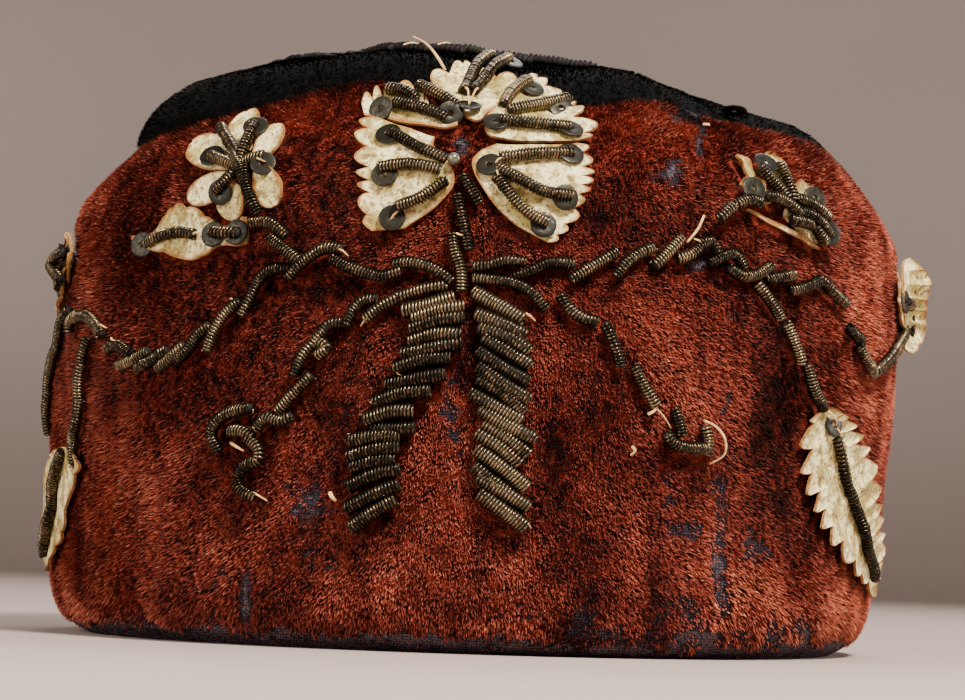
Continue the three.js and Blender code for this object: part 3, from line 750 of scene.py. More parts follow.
def stamp(turn, rise, radius_mm):
    """Marks discs of the cloth as covered."""
    rows, columns = map_cells(np.ravel(turn), np.ravel(rise))
    reach = int(radius_mm / STAMP_MM)
    for down in range(-reach, reach + 1):
        for over in range(-reach, reach + 1):
            if down**2 + over**2 <= (radius_mm / STAMP_MM) ** 2:
                free_map[np.clip(rows + down, 0, free_map.shape[0] - 1),
                         (columns + over) % free_map.shape[1]] = False


def covered(turn, rise):
    """True where something is sewn over the cloth."""
    rows, columns = map_cells(turn, rise)
    return ~free_map[rows, columns]


print("the map has", free_map.shape[0], "by", free_map.shape[1], "cells of", STAMP_MM, "mm")


# %% [markdown]
# Purl is a hollow coil of fine gilt wire, sewn down over a thread like a bead. A bump on a tube would stay
# smooth at its edge, so the wire is modelled: a small four-sided section swept round a helix, over a dark
# core. Each length is laid along a few places on the cloth, and every turn of wire is a little uneven.

# %% Lines over the cloth
PURL_RADIUS, WIRE_RADIUS, PURL_PITCH = 1.32 * MM, 0.27 * MM, 0.64 * MM
TURN_STEPS, WIRE_SIDES, CORE_SIDES = 9, 4, 6
CURVE_SAMPLES = 24
PURL_CLEARS_MM = 0.8


def smooth_path(points, samples=CURVE_SAMPLES):
    """A smooth line through a few points, with evenly spaced samples."""
    points = np.asarray(points, float)
    if len(points) == 2:
        return points[0] + (points[1] - points[0]) * np.linspace(0, 1, samples)[:, None]
    gaps = np.maximum(np.linalg.norm(np.diff(points, axis=0), axis=1), 1e-9)
    at = np.concatenate([[0], np.cumsum(gaps)])
    slope = np.diff(points, axis=0) / gaps[:, None]
    inner = (slope[:-1] * gaps[1:, None] + slope[1:] * gaps[:-1, None]) / (gaps[:-1] + gaps[1:])[:, None]
    ends = np.concatenate([slope[:1], inner, slope[-1:]])
    where = np.linspace(0, at[-1], samples)
    i = np.clip(np.searchsorted(at, where) - 1, 0, len(at) - 2)
    t, step = ((where - at[i]) / gaps[i])[:, None], gaps[i][:, None]
    start = (2 * t**3 - 3 * t**2 + 1) * points[i] + (t**3 - 2 * t**2 + t) * step * ends[i]
    return start + (3 * t**2 - 2 * t**3) * points[i + 1] + (t**3 - t**2) * step * ends[i + 1]


def along_path(line, share):
    """Places at shares of a line's length."""
    far = np.concatenate([[0], np.cumsum(np.linalg.norm(np.diff(line, axis=0), axis=1))])
    return np.stack([np.interp(share * far[-1], far, line[:, k]) for k in range(line.shape[1])], -1), far[-1]


def frames_along(centre, out):
    """The directions along, sideways and outward at each point of a line over the cloth."""
    along = np.gradient(centre, axis=0)
    along /= np.linalg.norm(along, axis=1, keepdims=True)
    sideways = np.cross(along, out)
    sideways /= np.linalg.norm(sideways, axis=1, keepdims=True)
    return along, sideways, np.cross(sideways, along)


print("a centimetre of purl has", round(10 * MM / PURL_PITCH), "turns of wire")


# %% Heaps of small shapes
class Heap:
    """Gathers the points and faces of many small shapes into one mesh."""

    def __init__(self):
        self.points, self.faces, self.marks, self.count = [], [], [], 0

    def add(self, points, faces, mark=0.0):
        self.points.append(points)
        self.faces.append(faces + self.count)
        self.marks.append(np.broadcast_to(mark, len(points)))
        self.count += len(points)

    def mark_values(self):
        return np.concatenate(self.marks)


def tube(heap, centre, first, second, radius, sides, mark=0.0):
    """A tube round a line, closed at both ends. first and second are the directions across it."""
    angle = 2 * np.pi * (np.arange(sides) + 0.5) / sides
    radius = np.broadcast_to(radius, len(centre))[:, None, None]
    ring = np.cos(angle)[:, None] * first[:, None] + np.sin(angle)[:, None] * second[:, None]
    points = (centre[:, None] + radius * ring).reshape(-1, 3)
    i, end, last = np.arange(sides), len(points), (len(centre) - 1) * sides
    lids = np.concatenate([
        np.stack([(i + 1) % sides, i, np.full(sides, end)], -1),
        np.stack([last + i, last + (i + 1) % sides, np.full(sides, end + 1)], -1),
    ]) + heap.count
    heap.add(np.concatenate([points, centre[:1], centre[-1:]]), grid_faces(len(centre), sides, wrap=True),
             mark)
    heap.faces.append(lids)


trial = Heap()
tube(trial, np.array([(0, 0, 0), (0, 0, 1.0)]), np.array([(1, 0, 0)] * 2), np.array([(0, 1, 0)] * 2), 1.0,
     WIRE_SIDES)
print("a straight piece of wire has", trial.count, "points")


# %% Lay one length of purl
purl_rng = np.random.default_rng(7)


def wound_wire(centre, out, radius, pitch):
    """The wire of a coil round a line, with its two directions across. No two turns are quite alike."""
    length = np.linalg.norm(np.diff(centre, axis=0), axis=1).sum()
    turns = max(3, round(length / pitch))
    share = np.linspace(0, 1, turns * TURN_STEPS + 1)
    drift = sum(
        purl_rng.normal(0, 0.004 / k) * np.sin(2 * np.pi * share * k + purl_rng.uniform(0, 6))
        for k in (1, 2, 3, 5)
    )
    middle, _ = along_path(centre, np.sort(np.clip(share + drift * np.sin(np.pi * share), 0, 1)))
    _, sideways, up = frames_along(along_path(centre, share)[0], along_path(out, share)[0])
    turn_number = np.arange(len(share)) / TURN_STEPS
    angle = 2 * np.pi * turn_number + purl_rng.uniform(0, 6)
    per_turn = purl_rng.normal(0, 0.045 * pitch / PURL_PITCH, turns + 2)
    spread = (radius - WIRE_RADIUS) * (1 + np.interp(turn_number, np.arange(turns + 2), per_turn))
    radial = np.cos(angle)[:, None] * sideways + np.sin(angle)[:, None] * up
    wire = middle + radial * spread[:, None]
    wire_along = np.gradient(wire, axis=0)
    wire_along /= np.linalg.norm(wire_along, axis=1, keepdims=True)
    across = np.cross(wire_along, radial)
    return wire, radial, across / np.linalg.norm(across, axis=1, keepdims=True)


def lay_purl(wires, cores, places, height, radius=PURL_RADIUS, pitch=PURL_PITCH, dip=0.35 * MM):
    """One length of purl along places on the cloth. Its ends dip to the cloth, where the thread goes in. A
    place may have a third number, the millimetres that a loop stands up there."""
    places = np.asarray(places, float)
    line = smooth_path(places[:, :2] * (0.01, 1.0))
    share = np.linspace(0, 1, CURVE_SAMPLES)
    flat, _ = along_path(line, share)
    lift = height - dip * (np.abs(2 * share - 1) ** 3)
    if places.shape[1] == 3:
        lift = lift + np.interp(share, np.linspace(0, 1, len(places)), places[:, 2]) * MM
    centre = on_cloth(flat[:, 0] * 100, flat[:, 1], lift)
    out = outward(flat[:, 0] * 100, flat[:, 1])
    wire, radial, across = wound_wire(centre, out, radius, pitch)
    tube(wires, wire, radial, across, WIRE_RADIUS, WIRE_SIDES, purl_rng.uniform(0, 1))
    few = np.linspace(0, CURVE_SAMPLES - 1, 9).round().astype(int)
    _, core_side, core_up = frames_along(centre[few], out[few])
    tube(cores, centre[few], core_side, core_up, radius - 1.5 * WIRE_RADIUS, CORE_SIDES)
    stamp(flat[:, 0] * 100, flat[:, 1], PURL_CLEARS_MM)


# %% [markdown]
# The gilding has gone brown and nearly black, and gold is left only where something rubbed it. One plain
# gold would look new. So noise of two sizes blends a dark, a gold and a rosy tone, and each length of purl
# is a little lighter or darker than the next by the mark that its points carry. Thread is duller, and its
# bumps are finer.

# %% The finishes of the metal and of the threads
def metal_finish(name, dark, gold, rose, metallic, dull):
    """Old gilt metal, brown with tarnish, with gold left where it rubbed."""
    finish = Finish(name, Metallic=metallic, Specular_IOR_Level=0.5)
    broad, fine = finish.noise(110.0, 3.0), finish.noise(1500.0, 3.0)
    tone = finish.attribute("mark")
    rubbed = fine.between(0.44, 0.72) * 0.55 + broad.between(0.4, 0.7) * 0.30 + tone * 0.25 - 0.1
    rubbed = rubbed.between(0.0, 1.0)
    worn_gold = fine.between(0.5, 0.66).mix(gold, rose)
    finish.feed(Base_Color=rubbed.mix(dark, worn_gold), Roughness=dull - fine.between(0.4, 0.7) * 0.22)
    finish.bump(fine, 0.00008, 0.5)
    return finish.material


def thread_finish(name, light, dark, roughness=0.8):
    """Waxed thread, matt and slightly mottled."""
    finish = Finish(name, Roughness=roughness, Specular_IOR_Level=0.3)
    finish.feed(Base_Color=finish.noise(700.0, 3.0).between(0.35, 0.65).mix(light, dark))
    finish.bump(finish.noise(2500.0, 2.0), 0.0001, 0.5)
    return finish.material


gilt_wire = metal_finish("gilt_wire", srgb(36, 32, 24), srgb(180, 160, 120), srgb(150, 112, 84), 0.95, 0.38)
dark_wire = metal_finish("dark_wire", srgb(12, 11, 9), srgb(62, 55, 44), srgb(46, 36, 30), 0.8, 0.62)
core_thread = thread_finish("core_thread", srgb(34, 25, 18), srgb(14, 10, 8))
straw_thread = thread_finish("straw_thread", srgb(246, 204, 140), srgb(206, 156, 96), 0.6)
spangle_metal = metal_finish("spangle_metal", srgb(34, 33, 26), srgb(72, 68, 54), srgb(60, 46, 34), 0.75,
                             0.52)
bead_glass = metal_finish("bead_glass", srgb(120, 116, 100), srgb(215, 212, 196), srgb(170, 160, 140), 0.7,
                          0.34)
print("the metal and the threads have", len(bpy.data.materials) - 2,
      "finishes more than the cove and the weave")

# %% [markdown]
# A spangle is a thin disc stamped with a hole, and the thread comes up through the hole. Each one sits
# tilted by the purl that holds it, so its rim catches the light. A cylinder would do for the disc, but its
# sharp rim shows no light, and so a profile with a raised rim is turned round instead. Thread ends and
# beads are tubes.

# %% Spangles, threads and beads
SPANGLE_RADIUS, SPANGLE_HOLE, SPANGLE_THICK = 2.55 * MM, 0.5 * MM, 0.28 * MM
SPANGLE_SIDES = 28


def lay_spangle(heap, place, height, tilt=(0.0, 0.0), radius=SPANGLE_RADIUS):
    """A dished disc with a hole. tilt is how far it leans across and up, in degrees."""
    turn, rise = np.array([place[0]]), np.array([place[1]])
    out = outward(turn, rise)[0]
    side = (skin(turn + 0.2, rise) - skin(turn - 0.2, rise))[0]
    side /= np.linalg.norm(side)
    up = np.cross(out, side)
    lean = Quaternion(Vector(up), math.radians(tilt[0])) @ Quaternion(Vector(side), math.radians(-tilt[1]))
    side, up, out = (np.array(lean @ Vector(v)) for v in (side, up, out))
    middle = on_cloth(turn, rise, height)[0]
    share = SPANGLE_HOLE / radius
    # reach from the hole to the rim and back, and height as a share of the metal's thickness
    profile = [
        (share, 0.0), (share, 1.0), (share + 0.1, 1.35), (0.6, 1.1), (0.93, 1.3),
        (1.0, 1.0), (1.0, 0.2), (0.95, 0.0), (0.5, -0.1),
    ]
    angle = 2 * np.pi * np.arange(SPANGLE_SIDES) / SPANGLE_SIDES
    ring = np.cos(angle)[:, None] * side + np.sin(angle)[:, None] * up
    points = np.stack([middle + ring * radius * reach + out * SPANGLE_THICK * lift
                       for reach, lift in profile])
    count = len(profile)
    faces = grid_faces(count, SPANGLE_SIDES, wrap=True)
    last = (count - 1) * SPANGLE_SIDES
    i = np.arange(SPANGLE_SIDES)
    closing = np.stack([last + i, last + (i + 1) % SPANGLE_SIDES, (i + 1) % SPANGLE_SIDES, i], -1)
    heap.add(points.reshape(-1, 3), np.concatenate([faces, closing]), purl_rng.uniform(0, 1))


def lay_thread(heap, places, heights, radius=0.22 * MM, taper=True):
    """A stiff end of thread through places at given heights over the cloth."""
    places, heights = np.asarray(places, float), np.asarray(heights, float) * MM
    points = on_cloth(places[:, 0], places[:, 1], heights)
    centre = smooth_path(points, 14)
    out = np.repeat(outward(places[:1, 0], places[:1, 1]), 14, 0)
    along, side, up = frames_along(centre, out)
    thick = radius * (1 - 0.45 * np.linspace(0, 1, 14) ** 2) if taper else np.full(14, radius)
    tube(heap, centre, side, up, thick, 6)


def lay_bead(heap, place, height, radius):
    """A small round bead, in rings from its lower to its upper end."""
    angle = np.radians(np.linspace(-80, 80, 9))
    out = outward(np.array([place[0]]), np.array([place[1]]))
    middle = on_cloth(np.array([place[0]]), np.array([place[1]]), height)
    centre = middle + out * (radius * np.sin(angle))[:, None]
    side = np.cross(out, (0, 0, 1))
    side = np.repeat(side / np.linalg.norm(side), 9, 0)
    tube(heap, centre, side, np.cross(np.repeat(out, 9, 0), side), radius * np.cos(angle), 14)


print("a spangle is", round(2 * SPANGLE_RADIUS / MM, 1), "mm across and", round(SPANGLE_THICK / MM, 2),
      "mm thick")

# %% [markdown]
# Kid is thin white leather, cut with small teeth along its free edges and sewn down along the others. Its
# edges have browned and curled. A flat shape with a thickness added to it would neither curl nor follow the
# cap. So a sheet is a net between two edges that lie on the cloth: teeth are cut by moving one edge towards
# the other, the net is lifted where it curls, and the underside is the same net again, a leather's
# thickness lower.

# %% Kid leather
KID_THICK, KID_LIFT = 0.55 * MM, 0.85 * MM
KID_BROWNS_FOR = 0.9 * MM
KID_CLEARS_MM = 0.6


def cut_edges(first, second, teeth, bite, stations, seed, point, skew):
    """Two edges with teeth cut into them, as turns in hundreds of degrees and rises."""
    rng = np.random.default_rng(900 + seed)
    scale = np.array([0.01, 1.0])
    a = smooth_path(np.asarray(first, float) * scale, stations)
    b = smooth_path(np.asarray(second, float) * scale, stations)
    share = np.linspace(0, 1, stations)
    edges = []
    for line, other, count, depth in ((a, b, teeth[0], bite[0]), (b, a, teeth[1], bite[1])):
        if count:
            start = rng.uniform(0, 6)
            wander = share + 0.35 / count * np.sin(share * 2 * np.pi * 1.7 + start) * np.sin(np.pi * share)
            phase = wander * count
            tooth = 1 - np.abs(2 * (phase % 1) ** skew - 1) ** point
            size = rng.uniform(0.6, 1.25, count + 2)[np.clip(np.floor(phase).astype(int) + 1, 0, count + 1)]
            line = line + (other - line) * (depth * size * (1 - tooth))[:, None]
        edges.append(line)
    return edges


def sheet_faces(rows, columns):
    """The faces of a thin sheet: its top, its underside and the four walls between them."""
    top_faces = grid_faces(rows, columns)
    base = rows * columns
    i, j = np.arange(rows - 1) * columns, np.arange(columns - 1)
    side_wall = np.stack([i, i + base, i + columns + base, i + columns], -1)
    end_wall = np.stack([j, j + 1, j + 1 + base, j + base], -1)
    walls = np.concatenate([
        side_wall[:, ::-1], side_wall + columns - 1,
        end_wall[:, ::-1], end_wall + (rows - 1) * columns,
    ])
    return np.concatenate([top_faces, top_faces[:, ::-1] + base, walls])


def kid_sheet(heap, first, second, teeth=(0, 0), bite=(0.0, 0.0), curl=(0.0, 0.0), cells=12, stations=90,
              seed=0, lift=KID_LIFT, point=1.9, skew=1.0, sway=0.5, ends=0.0):
    """A thin sheet between two edges. The edges are places (turn, rise) in order. teeth and bite are how
    many points each edge is cut into and how deep, and curl is how far, in mm, each edge stands up. A skew
    below 1 leans the points towards the start, as a saw's do."""
    edges = cut_edges(first, second, teeth, bite, stations, seed, point, skew)
    share = np.linspace(0, 1, stations)
    v = np.concatenate([[0, 0.02, 0.06], np.linspace(0.12, 0.88, cells - 5), [0.94, 0.98, 1]])
    flat = edges[0][:, None] + (edges[1] - edges[0])[:, None] * v[None, :, None]
    turn, rise = flat[..., 0] * 100, flat[..., 1]
    across, up = cloth_mm(turn, rise)
    wave = 0.16 * unevenness(across, up, 5, seed=300 + seed)
    wave = wave + 0.25 * unevenness(across, up, 14, seed=400 + seed)
    roll = curl[0] * (1 - v) ** 3 + curl[1] * v ** 3
    along_wave = 0.75 + sway * unevenness(share * 10, share * 0, 2.2, seed=500 + seed)
    along_wave = along_wave * (1 - ends * np.abs(2 * share - 1) ** 3)
    height = lift + (wave + roll[None] * along_wave[:, None]) * MM
    height = np.maximum(height, KID_THICK + 0.15 * MM)
    top = on_cloth(turn, rise, height)
    under = on_cloth(turn, rise, height - KID_THICK)
    faces = sheet_faces(*turn.shape)
    width = np.linalg.norm(top[:, -1] - top[:, 0], axis=1)[:, None]
    from_edge = np.minimum(v, 1 - v)[None] * width
    length = np.linalg.norm(np.diff(top[:, turn.shape[1] // 2], axis=0), axis=1).sum()
    from_end = np.minimum(share, 1 - share)[:, None] * length
    margin = np.minimum(from_edge, from_end + 0.4 * MM)
    browned = np.exp(-margin / KID_BROWNS_FOR).ravel()
    if np.dot(np.cross(top[1, 1] - top[0, 0], top[0, 1] - top[1, 0]),
              outward(turn[:1, 0], rise[:1, 0])[0]) > 0:
        faces = faces[:, ::-1]
    stamp(turn[:, 1:-1], rise[:, 1:-1], KID_CLEARS_MM)
    points = np.concatenate([top.reshape(-1, 3), under.reshape(-1, 3)])
    heap.add(points, faces, np.concatenate([browned, np.minimum(browned + 0.12, 1)]))


def kid_lobe(heap, base, tip, width, seed=0, curl=0.5, **options):
    """A round petal from a base to a tip, its width in millimetres."""
    base, tip = np.asarray(base, float), np.asarray(tip, float)
    mm = np.array([CAP_DEPTH / 2 / MM * math.pi / 180, RISE_MM])
    along = (tip - base) * mm
    length = np.linalg.norm(along)
    across = np.array([-along[1], along[0]]) / length
    share = np.array([0, 0.12, 0.3, 0.5, 0.68, 0.84, 0.95, 1.0])
    swell_out = np.array([0.40, 0.62, 0.86, 1.0, 1.0, 0.84, 0.54, 0.14])
    middle = base * mm + along * share[:, None]
    sides = [(middle + across * (way * width / 2 * swell_out)[:, None]) / mm for way in (1, -1)]
    both = curl if isinstance(curl, tuple) else (curl, curl)
    kid_sheet(heap, sides[0], sides[1], curl=both, cells=11, stations=34, seed=seed, **options)


print("a thin sheet of 3 by 4 points has", len(sheet_faces(3, 4)), "faces")


# %% The finish of the kid
def kid_finish():
    """White leather, yellowed in clouds, soiled in its pores and brown along its cut edges."""
    finish = Finish("white_kid", Specular_IOR_Level=0.25)
    broad, middle = finish.noise(120.0, 4.0, 0.6), finish.noise(330.0, 3.0, 0.6)
    fine = finish.noise(1000.0, 4.0, 0.6)
    edge = finish.attribute("mark")
    skin_side = broad.between(0.46, 0.62).mix(srgb(255, 240, 178), srgb(182, 166, 98))
    skin_side = (middle.between(0.48, 0.60) * 0.70).mix(skin_side, srgb(150, 128, 66))
    skin_side = (fine.between(0.52, 0.62) * 0.75).mix(skin_side, srgb(118, 88, 46))
    stain = (edge * 1.1 + broad * 0.9 + middle * 0.7 - 1.05).between(0.08, 0.66)
    stained = (stain * 0.85).mix(skin_side, srgb(150, 92, 40))
    spot = finish.noise(420.0, 2.0).between(0.62, 0.70)
    finish.feed(Base_Color=(spot * 0.6).mix(stained, srgb(96, 62, 32)), Roughness=0.62 + fine * 0.25)
    finish.bump(fine * 0.7 + middle * 0.8, 0.0007, 1.0)
    return finish.material


white_kid = kid_finish()
print("the kid's finish has", len(white_kid.node_tree.nodes), "nodes")

# %% [markdown]
# The flower in the middle of the front has five kid petals, cut like fans with pinked outer edges. The
# lengths of purl on each one run from a root out to a spangle. Their places are read off the picture in its
# pixels and cast onto the cloth, because that keeps the likeness and still lays every piece on the real
# form.

# %% The places of the centre flower
# For each petal: places along its inner edge and along its pinked edge, in the picture's pixels
CENTRE_PETALS = {
    "petal_lower_left": dict(
        inner=[(435, 142), (434, 151), (445, 161), (454, 175), (454, 186), (440, 204), (406, 229)],
        outer=[(364, 120), (356, 140), (356, 161), (358, 176), (360, 194), (360, 212), (369, 233)],
        teeth=7, bite=0.15, curl=0.6,
    ),
    "petal_upper_left": dict(
        inner=[(366, 120), (394, 124), (419, 129), (440, 131), (458, 129)],
        outer=[(362, 103), (372, 94), (392, 88), (414, 88), (434, 110), (456, 119)],
        teeth=8, bite=0.40, curl=0.5,
    ),
    "petal_top": dict(
        inner=[(440, 102), (452, 108), (464, 119), (476, 124), (488, 116), (501, 106)],
        outer=[(426, 79), (444, 73), (466, 67), (482, 74), (499, 79), (520, 85)],
        teeth=5, bite=0.26, curl=0.4,
    ),
    "petal_upper_right": dict(
        inner=[(519, 86), (503, 104), (488, 118), (484, 129), (488, 138), (512, 143)],
        outer=[(531, 79), (552, 90), (567, 101), (579, 112), (591, 122), (599, 131), (585, 142)],
        teeth=8, bite=0.17, curl=0.7,
    ),
    "petal_lower_right": dict(
        inner=[(496, 147), (480, 154), (472, 163), (475, 176), (483, 189), (496, 207), (516, 226)],
        outer=[(587, 144), (594, 165), (592, 185), (585, 200), (581, 213), (569, 229), (552, 246)],
        teeth=9, bite=0.13, curl=0.6,
    ),
}
# Lengths of purl, in pixels
CENTRE_PURLS = {
    "petal_upper_left_purl": [
        [(394, 110), (420, 117), (446, 124)], [(388, 98), (403, 101), (418, 109)],
        [(417, 95), (437, 104), (456, 114)],
    ],
    "petal_top_purl": [[(463, 100), (473, 80), (489, 63)], [(472, 100), (488, 82), (507, 68)]],
    "petal_upper_right_purl": [
        [(502, 114), (512, 99), (526, 88)], [(507, 119), (538, 114), (568, 107)],
        [(498, 128), (533, 132), (570, 133)],
    ],
    "petal_lower_right_purl": [
        [(499, 163), (533, 160), (571, 157)], [(496, 172), (520, 184), (543, 194), (570, 197)],
        [(496, 181), (515, 203), (533, 218), (546, 224)],
    ],
    "petal_lower_left_purl": [
        [(393, 140), (418, 154), (447, 165)], [(382, 172), (410, 170), (441, 174)],
        [(399, 209), (420, 201), (446, 184)],
    ],
}
# Spangles: x and y in pixels, and how they tilt across and up, in degrees
CENTRE_SPANGLES = {
    "petal_upper_left_purl": [(383, 116, -15, -25), (450, 120, 15, -30)],
    "petal_top_purl": [(509, 71, 10, -10), (468, 113, 0, 20)],
    "petal_upper_right_purl": [(530, 95, 10, 0), (560, 115, 5, -25), (570, 134, 10, 5), (495, 129, -10, 5)],
    "petal_lower_right_purl": [(570, 158, 10, 0), (564, 199, 5, 0), (542, 226, 0, 10), (489, 169, -15, 5)],
    "petal_lower_left_purl": [(390, 141, -6, 4), (387, 178, 0, 6), (394, 220, 5, 5)],
}
# %% [markdown]
# Old embroidery sheds: stiff ends of waxed thread stick up between the purls, and bits of lint lie on the
# pile. They are bright, so the eye finds them at once. Scattering them by chance would be quicker, but the
# picture shows where each one is, and so each one is laid as a short tube that rises and comes down again.

# %% Stiff ends of thread
# By the piece they belong to: places in pixels, heights in mm, radius in mm
LOOSE_THREADS = {
    "petal_top_purl": [
        ([(463, 98), (466, 104), (468, 112)], (2.2, 3.2, 1.8), 0.22),
        ([(477, 98), (473, 106), (468, 113)], (2.2, 3.2, 1.8), 0.22),
        ([(445, 75), (438, 70), (425, 62), (413, 57)], (0.6, 2.0, 3.5, 4.2), 0.3),
    ],
    "petal_lower_left_purl": [([(393, 221), (398, 216), (403, 211)], (1.6, 2.4, 1.8), 0.22)],
    "petal_lower_right_purl": [
        ([(493, 170), (498, 166), (503, 164)], (1.6, 2.6, 2.2), 0.22),
        ([(494, 172), (496, 177), (498, 183)], (1.6, 2.6, 2.2), 0.22),
    ],
    "left_tendril_purl": [
        ([(234, 443), (240, 446), (247, 451)], (1.2, 1.8, 1.2), 0.34),
        ([(256, 492), (262, 495), (269, 501)], (1.6, 2.0, 1.0), 0.2),
        ([(372, 317), (367, 322), (362, 327)], (1.4, 1.9, 1.2), 0.2),
    ],
    "left_vine_purl": [
        ([(340, 251), (346, 253), (351, 258)], (1.8, 2.3, 1.2), 0.2),
        ([(111, 327), (114, 328), (116, 330)], (1.6, 2.2, 1.4), 0.24),
        ([(121, 340), (124, 342), (127, 344)], (1.6, 2.2, 1.4), 0.24),
        ([(232, 299), (235, 300), (238, 302)], (1.0, 1.4, 1.0), 0.2),
    ],
    "right_tendril_purl": [
        ([(644, 414), (648, 411), (653, 406)], (1.2, 1.8, 1.4), 0.3),
        ([(629, 446), (631, 450), (628, 455)], (1.1, 1.6, 1.1), 0.32),
        ([(699, 420), (708, 426), (715, 440), (716, 454), (707, 464)], (1.0, 2.2, 3.0, 2.4, 0.8), 0.26),
        ([(652, 408), (659, 417), (667, 428)], (1.4, 1.8, 1.2), 0.14),
    ],
    "right_tail_purl": [([(525, 315), (529, 318), (534, 322)], (1.0, 1.6, 1.1), 0.3),
                        ([(523, 522), (527, 524), (530, 528)], (1.4, 1.8, 1.2), 0.2)],
    "left_tail_purl": [
        ([(331, 493), (334, 497), (337, 501)], (1.1, 1.7, 1.1), 0.42),
        ([(397, 371), (400, 374), (405, 376)], (2.4, 2.6, 2.2), 0.18),
        ([(373, 402), (377, 403), (381, 404)], (2.4, 2.6, 2.2), 0.18),
    ],
    "stem_purl": [([(457, 236), (460, 238), (464, 238)], (2.4, 2.8, 2.2), 0.18)],
    "crown_purl": [
        ([(404, 55), (411, 54), (418, 53)], (2.1, 2.4, 2.1), 0.2),
        ([(437, 53), (443, 53), (449, 52)], (2.1, 2.4, 2.1), 0.2),
        ([(700, 128), (703, 130), (706, 129)], (1.6, 2.2, 1.6), 0.3),
    ],
    "right_vine_purl": [([(813, 279), (818, 282), (823, 287)], (1.6, 2.0, 1.4), 0.2),
                        ([(690, 240), (694, 243), (697, 248)], (1.8, 2.4, 1.6), 0.18)],
    "left_flower_purl": [
        ([(234, 142), (238, 145), (243, 147)], (2.6, 3.1, 2.4), 0.2),
        ([(253, 133), (258, 133), (263, 134)], (2.6, 3.1, 2.4), 0.2),
        ([(264, 166), (268, 168), (273, 169)], (2.8, 3.3, 2.6), 0.2),
    ],
}


print(sum(len(rows) for rows in LOOSE_THREADS.values()), "ends of thread lie on", len(LOOSE_THREADS),
      "pieces")


# %% One part of the embroidery
ON_KID, OVER_KID, OVER_VELVET = 0.95 * MM + PURL_RADIUS, 1.6 * MM, 0.9 * MM


def purl_piece(name, lengths, height=ON_KID, spangles=(), radius=PURL_RADIUS, extra=None, beads=(),
               pitch=PURL_PITCH, disc_height=None, wire=gilt_wire):
    """All the purl, spangles and threads of one part of the embroidery, as one piece."""
    wires, cores, discs, threads, glass = Heap(), Heap(), Heap(), Heap(), Heap()
    for number, places in enumerate(lengths):
        lay_purl(wires, cores, places, height + 0.12 * MM * (number % 3 - 1), radius, pitch)
    for place, tilt in spangles:
        lay_spangle(discs, place, disc_height or (OVER_KID if height >= ON_KID else OVER_VELVET), tilt)
    for pixels, heights, thick in LOOSE_THREADS.get(name, ()):
        lay_thread(threads, seen_at(pixels), heights, thick * MM)
    for place, up, size in beads:
        lay_bead(glass, place, up, size)
    if extra:
        extra(threads)
    made_of = (
        (wires, wire), (cores, core_thread), (discs, spangle_metal), (threads, straw_thread),
        (glass, bead_glass),
    )
    used = [pair for pair in made_of if pair[0].count]
    join_heaps(name, [heap for heap, finish in used], [finish for heap, finish in used], "old_purl")


def join_heaps(name, heaps, materials, slot):
    """One piece of one or more heaps, each in its own finish. It stands for the solid of its name."""
    points = np.concatenate([p for h in heaps for p in h.points])
    quads, triangles, quad_material, triangle_material, start = [], [], [], [], 0
    for number, heap in enumerate(heaps):
        for faces in heap.faces:
            bucket, which = (quads, quad_material) if faces.shape[1] == 4 else (triangles, triangle_material)
            bucket.append(faces + start)
            which.append(np.full(len(faces), number))
        start += heap.count
    faces = [np.concatenate(kind) for kind in (quads, triangles) if kind]
    numbers = np.concatenate(quad_material + triangle_material)
    marks = np.concatenate([h.mark_values() for h in heaps])
    label = ("cut_" if slot == "kid_leather" else "laid_") + name
    return make_piece(label, points, faces, materials, [name], attributes={"mark": marks},
                      material_of=numbers)


def kid_piece(name, leather):
    """One cut piece of kid, smooth on its faces and sharp along its cut edges."""
    piece = join_heaps(name, [leather], [white_kid], "kid_leather")
    piece.data.set_sharp_from_angle(angle=math.radians(50))


def place_spangles(rows):
    """Spangles from rows of pixels and tilts."""
    return [(seen_at([(x, y)])[0], (across, up)) for x, y, across, up in rows]


print("purl on the kid is laid", round(ON_KID / MM, 2), "mm over the cloth, to its middle")

# %% Sew the centre flower
for number, (name, petal) in enumerate(CENTRE_PETALS.items()):
    leather = Heap()
    kid_sheet(leather, seen_at(petal["inner"]), seen_at(petal["outer"]), teeth=(0, petal["teeth"]),
              bite=(0, petal["bite"]), curl=(0.25, petal["curl"]), stations=petal["teeth"] * 12, seed=number)
    kid_piece(name, leather)
    metal = f"{name}_purl"
    beads = [(middle_of_bead, 2.9 * MM, 1.25 * MM)] if name == "petal_lower_left" else []
    purl_piece(metal, [seen_at(run) for run in CENTRE_PURLS[metal]],
               spangles=place_spangles(CENTRE_SPANGLES[metal]), beads=beads)

# %% [markdown]
# From the flower a stem runs down, and vines run out to both sides. Each is a row of short lengths of purl,
# laid end to end with a slight slant, so that each one starts beside the end of the last.

